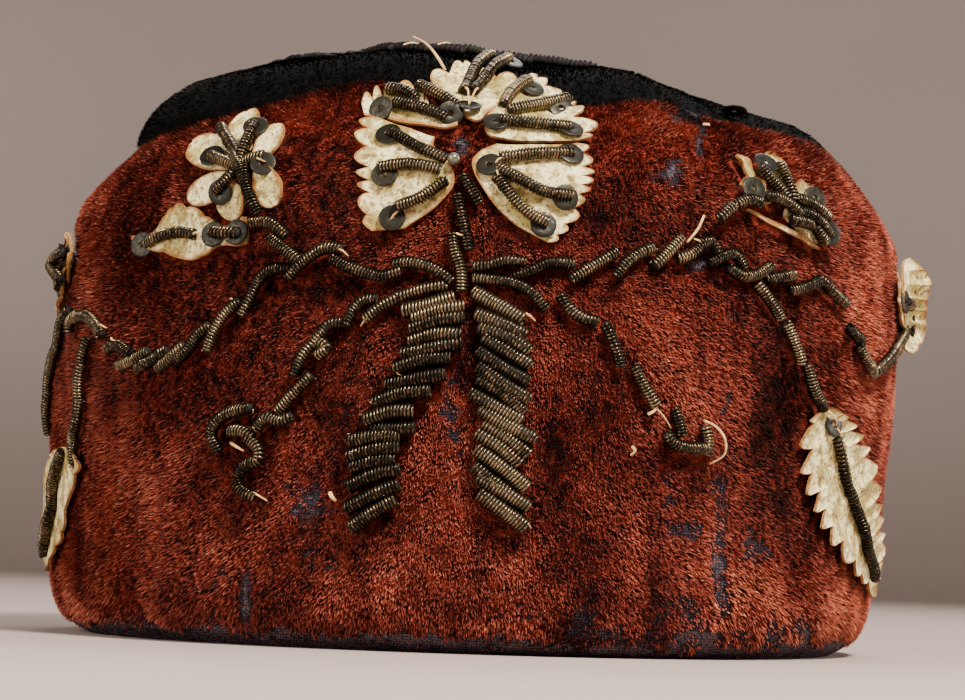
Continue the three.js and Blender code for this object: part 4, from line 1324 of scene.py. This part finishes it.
# %% The stem, the vines and the tendrils
ON_VELVET = 0.15 * MM + PURL_RADIUS
VINES = {
    "stem_purl": [
        [(462, 178), (470, 190), (479, 203)], [(458, 196), (463, 222), (469, 252)],
        [(453, 236), (455, 253), (461, 271), (462, 292)],
    ],
    "left_vine_purl": [
        [(452, 282), (439, 273), (422, 266), (406, 264), (394, 266)],
        [(402, 272), (382, 278), (367, 274), (351, 269), (334, 260)],
        [(345, 251), (328, 250), (312, 259), (300, 269), (291, 279)],
        [(297, 270), (279, 270), (266, 276), (254, 296), (244, 315)],
        [(241, 302), (229, 314), (218, 333), (210, 352)], [(213, 326), (202, 337), (193, 352), (181, 362)],
        [(189, 346), (177, 358), (163, 369)], [(172, 350), (159, 361), (144, 369)],
        [(155, 352), (141, 362), (126, 367)], [(136, 354), (126, 347), (115, 350)],
        [(110, 337), (105, 327), (94, 318), (83, 321)], [(78, 335), (80, 326), (86, 317)],
    ],
    "left_side_strand_purl": [
        [(95, 339), (92, 352), (89, 368)], [(90, 366), (87, 385), (85, 401)],
        [(86, 400), (84, 420), (79, 441)], [(80, 438), (79, 452), (80, 466)],
    ],
    "left_tendril_purl": [
        [(446, 286), (422, 291), (400, 298)], [(398, 299), (382, 308), (367, 320)],
        [(379, 300), (365, 302), (355, 312), (348, 327)], [(343, 323), (332, 325), (321, 337), (315, 345)],
        [(320, 342), (329, 348), (320, 356)], [(313, 345), (303, 360), (296, 376)],
        [(313, 375), (297, 392), (280, 411)], [(294, 416), (283, 421), (270, 418), (258, 430)],
        [(254, 408), (238, 411), (222, 421), (216, 436), (221, 451)], [(233, 431), (245, 431), (256, 437)],
        [(251, 439), (261, 448), (262, 459), (247, 467), (240, 477)], [(239, 481), (245, 490), (257, 497)],
    ],
    "right_vine_purl": [
        [(472, 268), (490, 266), (504, 262), (524, 263)], [(514, 278), (531, 272), (549, 264), (573, 265)],
        [(569, 281), (590, 268), (615, 253)], [(614, 277), (621, 267), (636, 255), (652, 248)],
        [(652, 267), (665, 254), (679, 239)], [(675, 260), (689, 255), (698, 245), (709, 242)],
        [(708, 242), (712, 249), (716, 256)], [(707, 264), (720, 257), (730, 255), (741, 267)],
        [(725, 269), (738, 277), (751, 276), (766, 267)], [(762, 280), (776, 278), (790, 276)],
        [(785, 292), (800, 288), (815, 281)], [(815, 281), (825, 292), (839, 305)],
        [(842, 329), (848, 336), (854, 342)], [(851, 347), (857, 361), (866, 374)],
        [(867, 373), (880, 360), (889, 346), (899, 332)],
    ],
    "right_tendril_purl": [
        [(472, 279), (492, 281), (512, 284), (529, 293), (545, 310)],
        [(559, 296), (565, 308), (577, 318), (594, 323)], [(602, 325), (609, 343), (617, 366)],
        [(630, 366), (640, 386), (652, 405)], [(670, 409), (674, 421), (678, 435)],
        [(662, 433), (669, 443), (682, 447), (703, 448)], [(700, 426), (703, 440), (704, 454)],
    ],
    "right_leaf_stalk_purl": [
        [(753, 285), (764, 301), (776, 320)], [(780, 324), (787, 343), (794, 363)],
        [(799, 366), (804, 386), (816, 409)],
    ],
}
# The outer strand at the left edge, by turn and rise, because the picture sees it edge on
OUTER_STRAND = [
    [(-66.5, 0.585, -0.2), (-69.5, 0.560, -0.3), (-72.0, 0.525, -0.4)],
    [(-71.5, 0.530, -0.4), (-74.0, 0.490, -0.5), (-75.5, 0.450, -0.6)],
    [(-75.2, 0.455, -0.6), (-76.4, 0.420, -0.6), (-77.0, 0.380, -0.8)],
]
for name, lengths in VINES.items():
    runs = [seen_at(run) for run in lengths] + (OUTER_STRAND if name == "left_side_strand_purl" else [])
    purl_piece(name, runs, height=ON_VELVET)

# %% [markdown]
# Two tails hang under the flower. Each is a ladder of short lengths of a thicker purl, laid side by side
# and pushed together until no velvet shows between them. One wide ribbed strip would be cheaper, but its
# ends would line up, and the real ones are ragged because every length was cut by hand.

# %% The two tails
# Each row is one length of purl: the turn and rise of its left end, then of its right end
LEFT_TAIL = [
    (-8.2, 0.556, -2.4, 0.581), (-7.0, 0.545, -1.2, 0.568), (-7.0, 0.529, -1.1, 0.551),
    (-7.2, 0.510, -1.4, 0.525), (-8.0, 0.491, -1.2, 0.512), (-8.8, 0.469, -2.4, 0.489),
    (-9.6, 0.445, -2.9, 0.466), (-11.0, 0.419, -4.5, 0.439), (-12.1, 0.391, -6.4, 0.409),
    (-11.2, 0.379, -6.2, 0.383), (-13.8, 0.359, -7.9, 0.369), (-14.0, 0.336, -7.9, 0.354),
    (-13.6, 0.319, -8.4, 0.335), (-13.8, 0.291, -7.8, 0.320), (-13.8, 0.258, -7.8, 0.297),
    (-13.2, 0.231, -8.2, 0.275),
]
RIGHT_TAIL = [
    (-0.1, 0.591, 5.6, 0.552), (0.2, 0.556, 5.8, 0.529), (0.6, 0.536, 6.4, 0.506), (1.2, 0.522, 6.6, 0.484),
    (0.6, 0.501, 6.5, 0.459), (0.8, 0.479, 6.6, 0.434), (0.8, 0.460, 6.1, 0.415), (0.1, 0.438, 6.0, 0.400),
    (1.1, 0.416, 7.5, 0.374), (1.8, 0.394, 6.9, 0.350), (0.9, 0.378, 5.9, 0.335), (0.9, 0.355, 6.8, 0.300),
    (0.8, 0.329, 5.4, 0.286), (1.2, 0.312, 7.1, 0.270), (1.5, 0.288, 7.0, 0.240),
]


def tail_lengths(rows):
    """Each length is bowed a little, as it is when the next one pushes against it."""
    lengths = []
    for left_turn, left_rise, right_turn, right_rise in rows:
        middle = ((left_turn + right_turn) / 2,
                  (left_rise + right_rise) / 2 + purl_rng.uniform(-0.003, 0.006))
        lengths.append(np.array([(left_turn, left_rise), middle, (right_turn, right_rise)]))
    return lengths


purl_piece("left_tail_purl", tail_lengths(LEFT_TAIL), height=0.55 * MM + PURL_RADIUS, radius=1.66 * MM)
purl_piece("right_tail_purl", tail_lengths(RIGHT_TAIL), height=0.55 * MM + PURL_RADIUS, radius=1.70 * MM)

# %% [markdown]
# The smaller flowers have round petals of kid, each cut on its own and tucked under the purl. The leaves
# have saw-toothed edges. Those on the front are read off the picture, and the rest are set by their turn
# and rise.

# %% The left flower and its leaf
LEFT_FLOWER_LOBES = {
    # base x, y, tip x, y in pixels, width in mm, curl in mm
    "top": (246, 156, 249, 114, 8.4, 0.3), "upper_right": (264, 166, 280, 128, 7.4, 0.4),
    "upper_left": (240, 166, 195, 146, 8.6, 0.3), "lower_left": (240, 182, 191, 197, 6.8, 0.3),
    "bottom": (244, 188, 226, 218, 8.2, 0.3), "lower_right": (264, 172, 282, 206, 6.6, 0.4),
}


def lobed_flower(name, lobes, lift=KID_LIFT):
    """One kid flower of separate round petals. Lobes are given in pixels."""
    leather = Heap()
    for number, (base_x, base_y, tip_x, tip_y, width, curl) in enumerate(lobes.values()):
        base, tip = seen_at([(base_x, base_y), (tip_x, tip_y)])
        kid_lobe(leather, base, tip, width, seed=len(name) + number, curl=curl,
                 lift=lift + 0.14 * MM * number)
    kid_piece(name, leather)


lobed_flower("left_flower", LEFT_FLOWER_LOBES)
purl_piece(
    "left_flower_purl",
    [seen_at(run) for run in (
        [(246, 168), (254, 150), (262, 132)], [(244, 162), (236, 149), (229, 137)],
        [(243, 172), (231, 168), (219, 164)],
        [(250, 170), (260, 166), (271, 163)], [(243, 176), (234, 186), (224, 195)],
        [(238, 160), (246, 172), (253, 184)],
        [(251, 172), (256, 194), (265, 215)], [(258, 226), (273, 225), (292, 238)],
        [(277, 242), (291, 252), (305, 264)],
    )],
    height=ON_KID + 0.5 * MM, disc_height=2.25 * MM,
    spangles=place_spangles([(262, 135, 22, 5), (270, 170, 22, 0), (219, 163, 15, 5), (228, 195, 15, -10)]),
)

# %% The leaf beside it
leather = Heap()
kid_sheet(
    leather,
    seen_at([(136, 237), (158, 231), (165, 218), (179, 204), (193, 206), (207, 213), (221, 224), (232, 226),
             (240, 218), (249, 215)]),
    seen_at([(136, 240), (149, 250), (166, 254), (181, 259), (194, 261), (207, 256), (217, 248), (228, 246),
             (240, 247), (249, 245)]),
    (9, 5), (0.07, 0.04), (0.5, 0.4), stations=110, seed=31,
)
kid_piece("left_leaf", leather)
purl_piece(
    "left_leaf_purl",
    [seen_at(run) for run in ([(153, 245), (167, 238), (184, 234), (200, 236)],
                              [(217, 234), (231, 235), (245, 235)])],
    height=ON_KID, pitch=0.9 * MM,
    spangles=place_spangles([(148, 246, 30, 0), (218, 236, 15, 0), (241, 234, 15, 5)]),
    extra=lambda heap: lay_thread(heap, seen_at([(199, 236), (205, 235), (212, 235)]), [2.2, 2.6, 2.2],
                                  taper=False),
)

# %% [markdown]
# The right flower stands where the cap turns away, so its petals are seen from the side and some only as an
# edge. A flower drawn flat to the camera would look pasted on. So its petals lie on the cloth as the others
# do, and they curl up more at the edge that faces the camera, which is what shows their white.

# %% The right flower, seen from its side
RIGHT_FLOWER_LOBES = {
    "upper_left": (760, 194, 735, 156, 3.4, 1.4), "top": (772, 194, 764, 160, 6.6, 2.0),
    "right": (782, 206, 806, 196, 6.6, 1.8), "lower_right": (780, 214, 818, 238, 6.0, 0.8),
    "bottom": (744, 211, 814, 250, 1.2, 0.5), "left": (766, 202, 735, 187, 4.6, 0.9),
}
lobed_flower("right_flower", RIGHT_FLOWER_LOBES)
purl_piece(
    "right_flower_purl",
    [seen_at(run) for run in (
        [(777, 201), (764, 188), (751, 174)], [(784, 205), (778, 190), (770, 172)],
        [(757, 200), (772, 205), (790, 217)],
        [(786, 203), (803, 210), (818, 220)], [(790, 214), (806, 222), (820, 236)],
        [(781, 222), (790, 224), (800, 227)],
        [(752, 206), (741, 203), (729, 207)], [(726, 208), (719, 213), (712, 220)],
        [(804, 230), (809, 237), (814, 243)],
    )],
    height=ON_KID + 0.7 * MM, disc_height=2.7 * MM,
    spangles=place_spangles([(745, 194, -15, 0), (804, 204, -20, 0), (819, 235, -20, 0),
                             (757, 171, -12, 10)]),
    extra=lambda heap: lay_thread(heap, seen_at([(702, 216), (695, 229), (686, 243)]), [1.2, 1.6, 0.8],
                                  0.26 * MM, taper=False),
)

# %% [markdown]
# Saw leaves have a tooth for every few millimetres and a midrib of purl. Those near the edges of the cap
# are foreshortened so much that a pixel is several millimetres of cloth. Their outlines are therefore given
# as turns and rises, row by row, and the two on the back, which nothing shows, repeat the same leaf.

# %% Leaves that are set by their turn and rise
# rows from one end to the other: the place on the first edge, then on the second
SAW_LEAVES = {
    "right_leaf": dict(
        rows=[
            (74.5, 0.152, 73.0, 0.150), (73.5, 0.190, 58.0, 0.198), (71.5, 0.240, 51.0, 0.245),
            (68.0, 0.305, 47.0, 0.300), (63.0, 0.375, 44.6, 0.365), (56.0, 0.425, 44.8, 0.420),
            (49.8, 0.450, 47.8, 0.450),
        ],
        teeth=(12, 12), bite=(0.20, 0.18), curl=(2.0, 0.9), skew=0.45, point=1.45, pitch=0.9 * MM,
        midrib=[[(51.4, 0.405), (54.2, 0.345), (58.5, 0.290)],
                [(58.0, 0.300), (63.0, 0.235), (69.5, 0.180)]],
        spangle=(50.3, 0.425), threads=True,
    ),
    "left_side_leaf": dict(
        rows=[
            (-75, 0.148, -76.4, 0.15), (-69, 0.172, -79, 0.178), (-63.6, 0.222, -81, 0.228),
            (-60.6, 0.277, -80, 0.285), (-57.8, 0.325, -74, 0.335), (-62, 0.352, -65, 0.354),
        ],
        teeth=(7, 7), bite=(0.07, 0.07), curl=(0.8, 0.8),
        midrib=[[(-63.5, 0.345), (-66.5, 0.300), (-68.5, 0.250)],
                [(-68.0, 0.255), (-71.0, 0.210), (-74.0, 0.175)]],
    ),
    "back_leaf_left": dict(
        rows=[(202, 0.44, 202, 0.446), (208, 0.445, 204, 0.49), (214, 0.465, 210, 0.53),
              (219, 0.495, 217, 0.54), (224, 0.51, 224, 0.514)],
        teeth=(7, 7), bite=(0.12, 0.12), curl=(0.5, 0.5),
        midrib=[[(219, 0.508), (213.5, 0.49), (208, 0.47)]],
    ),
    "back_leaf_right": dict(
        rows=[(136, 0.51, 136, 0.514), (141, 0.495, 143, 0.54), (146, 0.465, 150, 0.53),
              (152, 0.445, 156, 0.49), (158, 0.44, 158, 0.446)],
        teeth=(7, 7), bite=(0.12, 0.12), curl=(0.5, 0.5),
        midrib=[[(152, 0.47), (146.5, 0.49), (141, 0.508)]],
    ),
}


def leaf_threads(spot):
    """Two bits of stiff thread that cross at a place on a leaf."""
    turn, rise = spot
    return lambda heap: [
        lay_thread(heap, [(turn - 1.6, rise + 0.02), (turn - 0.4, rise + 0.008),
                          (turn + 0.6, rise - 0.004)], [1.8, 2.6, 1.7]),
        lay_thread(heap, [(turn + 0.2, rise - 0.002), (turn + 0.9, rise - 0.012),
                          (turn + 1.6, rise - 0.02)], [1.7, 2.6, 2.2]),
    ]


for number, (name, leaf) in enumerate(SAW_LEAVES.items()):
    rows = np.array(leaf["rows"], float)
    leather = Heap()
    kid_sheet(leather, rows[:, :2], rows[:, 2:], leaf["teeth"], leaf["bite"], leaf["curl"],
              stations=sum(leaf["teeth"]) * 7, seed=40 + number, cells=15,
              skew=leaf.get("skew", 1.0), point=leaf.get("point", 1.9))
    kid_piece(name, leather)
    spangles = [(leaf["spangle"], (-10, 10))] if "spangle" in leaf else []
    purl_piece(f"{name}_purl", leaf["midrib"], height=ON_KID, spangles=spangles,
               pitch=leaf.get("pitch", PURL_PITCH),
               extra=leaf_threads(leaf["spangle"]) if leaf.get("threads") else None)

# %% [markdown]
# The flowers at both edges and on the back are rings of round petals, each with one purl that ends in a
# spangle. At the edge of the picture a petal is a sliver, so two things are added that show there: loops of
# purl that stand up from the left flower, and one ragged flap of kid that curls away from the right one.

# %% Flowers that are set by their turn and rise
# across is in degrees and tall in rise, start is the first petal's direction in degrees, and curl is in mm
SET_FLOWERS = {
    "left_side_flower": dict(
        turn=-81, rise=0.68, across=11, tall=0.078, lobes=5, start=18, curl=1.0,
        loops=[[(-72.5, 0.702, 0.2), (-75.5, 0.696, 1.2), (-77.2, 0.680, 2.0), (-75.2, 0.664, 1.0),
                (-72, 0.645, 0.2)]],
    ),
    "right_side_flower": dict(
        turn=85, rise=0.665, across=11, tall=0.085, lobes=5, start=180, curl=0.4,
        flap=([(79, 0.748), (76.5, 0.715), (76.5, 0.640), (79, 0.588)],
              [(81, 0.758), (86, 0.720), (86, 0.630), (81, 0.572)]),
    ),
    "back_flower": dict(turn=180, rise=0.76, across=11, tall=0.11, lobes=6, start=30, curl=0.6),
}
for number, (name, flower) in enumerate(SET_FLOWERS.items()):
    leather, lengths, spangles = Heap(), [], []
    middle = np.array([flower["turn"], flower["rise"]])
    reach = np.array([flower["across"], flower["tall"]])
    for petal in range(flower["lobes"]):
        angle = math.radians(flower["start"] + 360 * petal / flower["lobes"])
        way = np.array([math.cos(angle), math.sin(angle)])
        kid_lobe(leather, middle + way * reach * 0.2, middle + way * reach, 11.5,
                 seed=60 + number * 8 + petal, curl=flower["curl"], lift=KID_LIFT + 0.1 * MM * petal)
        lengths.append([middle + way * reach * 0.08, middle + way * reach * 0.68])
        spangles.append((middle + way * reach * 0.74, (float(way[0]) * 15, float(way[1]) * 15)))
    lengths += flower.get("loops", [])
    if "flap" in flower:
        kid_sheet(leather, *flower["flap"], (0, 7), (0, 0.20), (0.2, 7.4), stations=70, seed=93,
                  lift=KID_LIFT + 0.7 * MM, sway=0.10, ends=0.75)
    kid_piece(name, leather)
    purl_piece(f"{name}_purl", lengths, height=ON_KID + 0.3 * MM, spangles=spangles)

# %% [markdown]
# The crown is a separate piece of black velvet, set into the top of the side. Its pile is short and dense,
# and shows only as a soft sheen where it turns away. A flattened ball could stand for it, but its edge has
# to hang over the side unevenly, as a gathered edge does. So it is a net of rings from that edge to the
# middle, and a second net under it, a wall's thickness lower.

# %% The crown
CROWN_SINK, CROWN_PILE = 0.6 * MM, 0.55 * MM
CROWN_TURNS = 240
crown_share = np.concatenate([[0, 0.006, 0.014, 0.024], np.linspace(0.036, 1, 48)])
under_rises = 1 + np.linspace(0.99, 0.02, 22)
crown_turns = np.arange(0, 360, 360 / CROWN_TURNS)
turn_grid, share_grid = np.meshgrid(crown_turns, crown_share)
edge_grid = 1 - lip_drop(turn_grid)
over = on_crown(turn_grid, edge_grid + (2 - edge_grid) * share_grid,
                -CROWN_SINK - 0.5 * MM * np.exp(-((share_grid / 0.008) ** 2)))
turn_under, rise_under = np.meshgrid(crown_turns, under_rises)
under = on_crown(turn_under, rise_under, -CROWN_WALL)
black_weave = weave_finish("black_weave", srgb(24, 24, 24), srgb(6, 6, 6), srgb(8, 8, 8), srgb(2, 2, 2))
crown_points = np.concatenate([over.reshape(-1, 3), under.reshape(-1, 3)])
crown_faces = grid_faces(len(crown_share) + len(under_rises), CROWN_TURNS, wrap=True)
crown_faces = crown_faces[~((crown_faces[:, 0] // CROWN_TURNS) == len(crown_share) - 1)]
last = (len(crown_share) + len(under_rises) - 1) * CROWN_TURNS
i = np.arange(CROWN_TURNS)
rim = np.stack([last + i, last + (i + 1) % CROWN_TURNS, (i + 1) % CROWN_TURNS, i], -1)
make_piece("crown_ground", crown_points, [np.concatenate([crown_faces, rim])], [black_weave],
           ["crown"], attributes={"bare": np.zeros(len(crown_points))})

# %% [markdown]
# A wreath of tarnished purl runs round the crown. From the front only its skyline shows, as short dark
# lengths that dip into the velvet. It could be a ring swept along a circle, but a ring is too even. So it
# is laid like the vines, a length at a time along shallow scallops, and sinks into the pile where the
# picture hides it.

# %% The wreath of the crown
WREATH_SCALLOPS, SCALLOP_PURLS, WREATH_RISE, WREATH_WAVE = 12, 4, 1.3, 0.035
# How far, in rise, each length starts above the one before and ends below the next
PURL_SLANT = 0.008


def wreath_lengths():
    """The purls of the wreath, in shallow scallops round the crown."""
    lengths = []
    knots = WREATH_SCALLOPS * SCALLOP_PURLS
    turns = -20 + 360 * np.arange(knots + 1) / knots
    rises = WREATH_RISE - WREATH_WAVE * np.cos(np.pi * np.arange(knots + 1) / SCALLOP_PURLS)
    from_front = np.abs(turn_apart(turns, -3))
    sunk = -1.7 * soft_step(from_front, 18, 28) * (1 - soft_step(from_front, 85, 115))
    for k in range(knots):
        start = (turns[k] - 0.6, rises[k] + PURL_SLANT, sunk[k])
        end = (turns[k + 1] + 0.6, rises[k + 1] - PURL_SLANT, sunk[k + 1])
        lengths.append([start, tuple((a + b) / 2 for a, b in zip(start, end)), end])
    return lengths


purl_piece("crown_purl", wreath_lengths(), height=ON_VELVET - 0.75 * MM, wire=dark_wire, pitch=0.95 * MM,
           spangles=[(seen_at([(733, 114)])[0], (20, 50))])

# %% [markdown]
# The two vines of the front run on round the sides, and most such caps carry them right across the back.
# The back is hidden, so nothing can be read off the picture. One row of lengths in shallow waves joins the
# two, and its coils are coarser, since the back is rarely looked at.

# %% The vine across the back
BACK_LENGTHS, BACK_TURNS, BACK_RISE, BACK_WAVE = 30, (97, 263), 0.63, 0.028


def back_vine_lengths():
    """The lengths of the back vine, in shallow waves."""
    turns = np.linspace(*BACK_TURNS, BACK_LENGTHS + 1)
    rises = BACK_RISE - BACK_WAVE * np.cos(8 * np.pi * np.linspace(0, 1, BACK_LENGTHS + 1))
    starts, ends = (turns[:-1] - 0.5, rises[:-1] + PURL_SLANT), (turns[1:] + 0.5, rises[1:] - PURL_SLANT)
    return [list(pair) for pair in zip(zip(*starts), zip(*ends))]


purl_piece("back_vine_purl", back_vine_lengths(), height=ON_VELVET, pitch=0.95 * MM)

# %% [markdown]
# Pile is thousands of short tufts. Hair curves would be lost in the export, so each tuft is one slim
# triangle that stands on the ground and leans with the nap. All tufts of a stretch of the cap are joined in
# one mesh made from arrays, which takes seconds, where separate objects would take hours.

# %% The tufts of the pile
TUFT_CLEARS_FLOOR = 0.05 * MM


def nap_angle(turn, rise):
    """The way that the pile lies, in degrees from straight down towards +turn."""
    across, up = cloth_mm(turn, rise)
    return 6 + 18 * unevenness(across, up, 34, seed=21) + 12 * unevenness(across, up, 11, seed=22)


def plant(count, turns, rises, seed):
    """Random places spread evenly over a stretch of the cloth."""
    rng = np.random.default_rng(seed)
    turn = rng.uniform(*turns, count * 2)
    rise = rng.uniform(*rises, count * 2)
    along = np.linalg.norm(form(turn + 0.1, rise) - form(turn - 0.1, rise), axis=-1)
    up = np.linalg.norm(form(turn, rise + 0.001) - form(turn, rise - 0.001), axis=-1)
    area = along * up
    keep = rng.uniform(0, np.quantile(area, 0.98), count * 2) < area
    return turn[keep][:count], rise[keep][:count], rng


def tufts(turn, rise, rng, bare, pile_height, length, width, depth, place, spread=24):
    """Each tuft's three corners, and its height share at each corner."""
    root = place(turn, rise, -depth)
    out = outward(turn, rise)
    sideways = form(turn + 0.2, rise) - form(turn - 0.2, rise)
    sideways /= np.linalg.norm(sideways, axis=-1, keepdims=True)
    down = np.cross(sideways, out)
    down *= np.sign(-down[:, 2:3] + 1e-9)
    lie = np.radians(nap_angle(turn, rise) + rng.normal(0, spread, len(turn)))
    nap = down * np.cos(lie)[:, None] + sideways * np.sin(lie)[:, None]
    blade = np.cross(out, nap)
    twist = rng.normal(0, 0.5, len(turn))[:, None]
    blade = blade * np.cos(twist) + out * np.sin(twist)
    full = (1 - 0.55 * bare) * rng.uniform(0.75, 1.2, len(turn))
    reach = length * full * rng.uniform(0.6, 1.15, len(turn))
    tip = root + out * (pile_height * full)[:, None] + nap * reach[:, None]
    half = (width / 2 * rng.uniform(0.75, 1.25, len(turn)))[:, None]
    corners = np.stack([root - blade * half, root + blade * half, tip], 1)
    corners[..., 2] = np.maximum(corners[..., 2], TUFT_CLEARS_FLOOR)
    return corners, np.tile([0.0, 0.0, 1.0], len(turn))


def pile_mesh(name, count, turns, rises, seed, finish, depth_of, height, length, width,
              place=on_cloth):
    """The pile of one stretch of the cloth, thinned where it is worn and left out under the embroidery."""
    turn, rise, rng = plant(count, turns, rises, seed)
    on_side = place is on_cloth
    bare = worn(turn, rise) if on_side else np.zeros_like(turn)
    keep = (rng.uniform(0, 1, len(turn)) > bare) & ~covered(turn, rise)
    if not on_side:
        keep &= rise > 1 - lip_drop(turn) + 0.004
    turn, rise, bare = turn[keep], rise[keep], bare[keep]
    corners, tip = tufts(turn, rise, rng, bare, height, length, width, depth_of(rise), place)
    tone = np.repeat(rng.uniform(0, 1, len(turn)), 3)
    # nap carries each place's painted light and painted shade to its tuft
    nap = np.repeat(nap_painted_light(turn, rise) if on_side else np.zeros_like(turn), 3)
    faces = np.arange(len(turn) * 3).reshape(-1, 3)
    piece = make_piece(name, corners.reshape(-1, 3), [faces], [finish], smooth=False,
                       attributes={"tip": tip, "tone": tone, "nap": nap})
    lay_out_tufts(piece.data, len(turn))


def lay_out_tufts(mesh, count):
    """Gives each tuft its own corner of a square map, two to a cell, so that its colour can be baked."""
    side = math.ceil(math.sqrt(count / 2))
    number = np.arange(count)
    cell = np.stack([(number // 2) % side, (number // 2) // side], -1)
    low = np.array([(0.10, 0.10), (0.78, 0.10), (0.10, 0.78)])
    high = np.array([(0.90, 0.90), (0.22, 0.90), (0.90, 0.22)])
    corner = np.where((number % 2 == 0)[:, None, None], low, high)
    layer = mesh.uv_layers.new(name="OFBake")
    layer.uv.foreach_set("vector", ((cell[:, None] + corner) / side).astype(np.float32).ravel())


print("in the middle of the front the nap leans by", nap_angle(0.0, 0.5).round(1), "degrees")


# %% [markdown]
# A tuft is dark at its root, where no light gets in, and bright at its tip, and both are painted into its
# colour:
# painted shade at the root and painted light at the tip. Velvet glints because light passes along the pile,
# and a coat or sheen could stand for that, but neither is used here. So the tips get painted light and
# painted glints
# from three numbers that the mesh carries: the height along the tuft, its own tone and the nap's painted
# light and shade.

# %% The finish of the pile
def pile_finish(name, root, middle, light, glint):
    """Painted shade at the roots, and tips that differ from tuft to tuft, with the nap's painted light and
    shade and a few painted glints.
    """
    finish = Finish(name, Roughness=0.85, Specular_IOR_Level=0.10)
    tip, tone, nap = (finish.attribute(label) for label in ("tip", "tone", "nap"))
    small = finish.noise(150.0, 2.0).between(0.35, 0.65)
    # shade is the painted shade of the roots and the painted light of the tips, with each tuft's tone and the
    # nap's painted light and shade
    shade = tip * 0.45 + tone * 0.54 + small * 0.24 + nap * 0.85 - 0.16
    deep = shade.between(0.12, 0.62).mix(root, middle)
    bright = shade.between(0.55, 1.25).mix(deep, light)
    shine = (tone.between(0.88, 1.0) * tip * (nap + 0.7)).between(0.25, 1.1)
    finish.feed(Base_Color=shine.mix(bright, glint))
    return finish.material


# Painted shade at the roots, the pile's own colour, painted light at the tips and a painted glint, for the
# rust pile and the black crown
rust_pile = pile_finish("rust_pile", srgb(22, 7, 6), srgb(132, 56, 43), srgb(200, 108, 80),
                        srgb(242, 186, 152))
black_pile = pile_finish("black_pile", srgb(1, 1, 1), srgb(5, 5, 5), srgb(11, 11, 11), srgb(38, 40, 38))
print("the pile's finishes have", len(rust_pile.node_tree.nodes), "nodes each")

# %% [markdown]
# The pile is planted last, when the map knows everything that lies on the cloth. A piece may have only so
# many triangles, so the side is planted in four stretches of a quarter turn each. The crown's pile is
# shorter.

# %% Plant the pile
SIDE_TUFTS, PILE_HEIGHT, TUFT_LENGTH, TUFT_WIDTH = 128000, 1.1 * MM, 0.62 * MM, 0.37 * MM
CROWN_TUFTS, CROWN_TUFT_LENGTH, CROWN_TUFT_WIDTH = 90000, 0.7 * MM, 0.36 * MM
PILE_STRETCHES = {"front": (-45, 45), "right": (45, 135), "back": (135, 225), "left": (225, 315)}


def crown_depth(rise):
    """The crown's ground lies evenly under its pile."""
    return np.full(len(rise), CROWN_SINK)


for number, (label, turns) in enumerate(PILE_STRETCHES.items()):
    pile_mesh(f"velvet_pile_{label}", SIDE_TUFTS, turns, (0.004, 0.995), 100 + number, rust_pile,
              ground_depth, PILE_HEIGHT, TUFT_LENGTH, TUFT_WIDTH)
pile_mesh("crown_pile", CROWN_TUFTS, (0, 360), (0.90, 1.995), 200, black_pile,
          crown_depth, CROWN_PILE, CROWN_TUFT_LENGTH, CROWN_TUFT_WIDTH, on_crown)
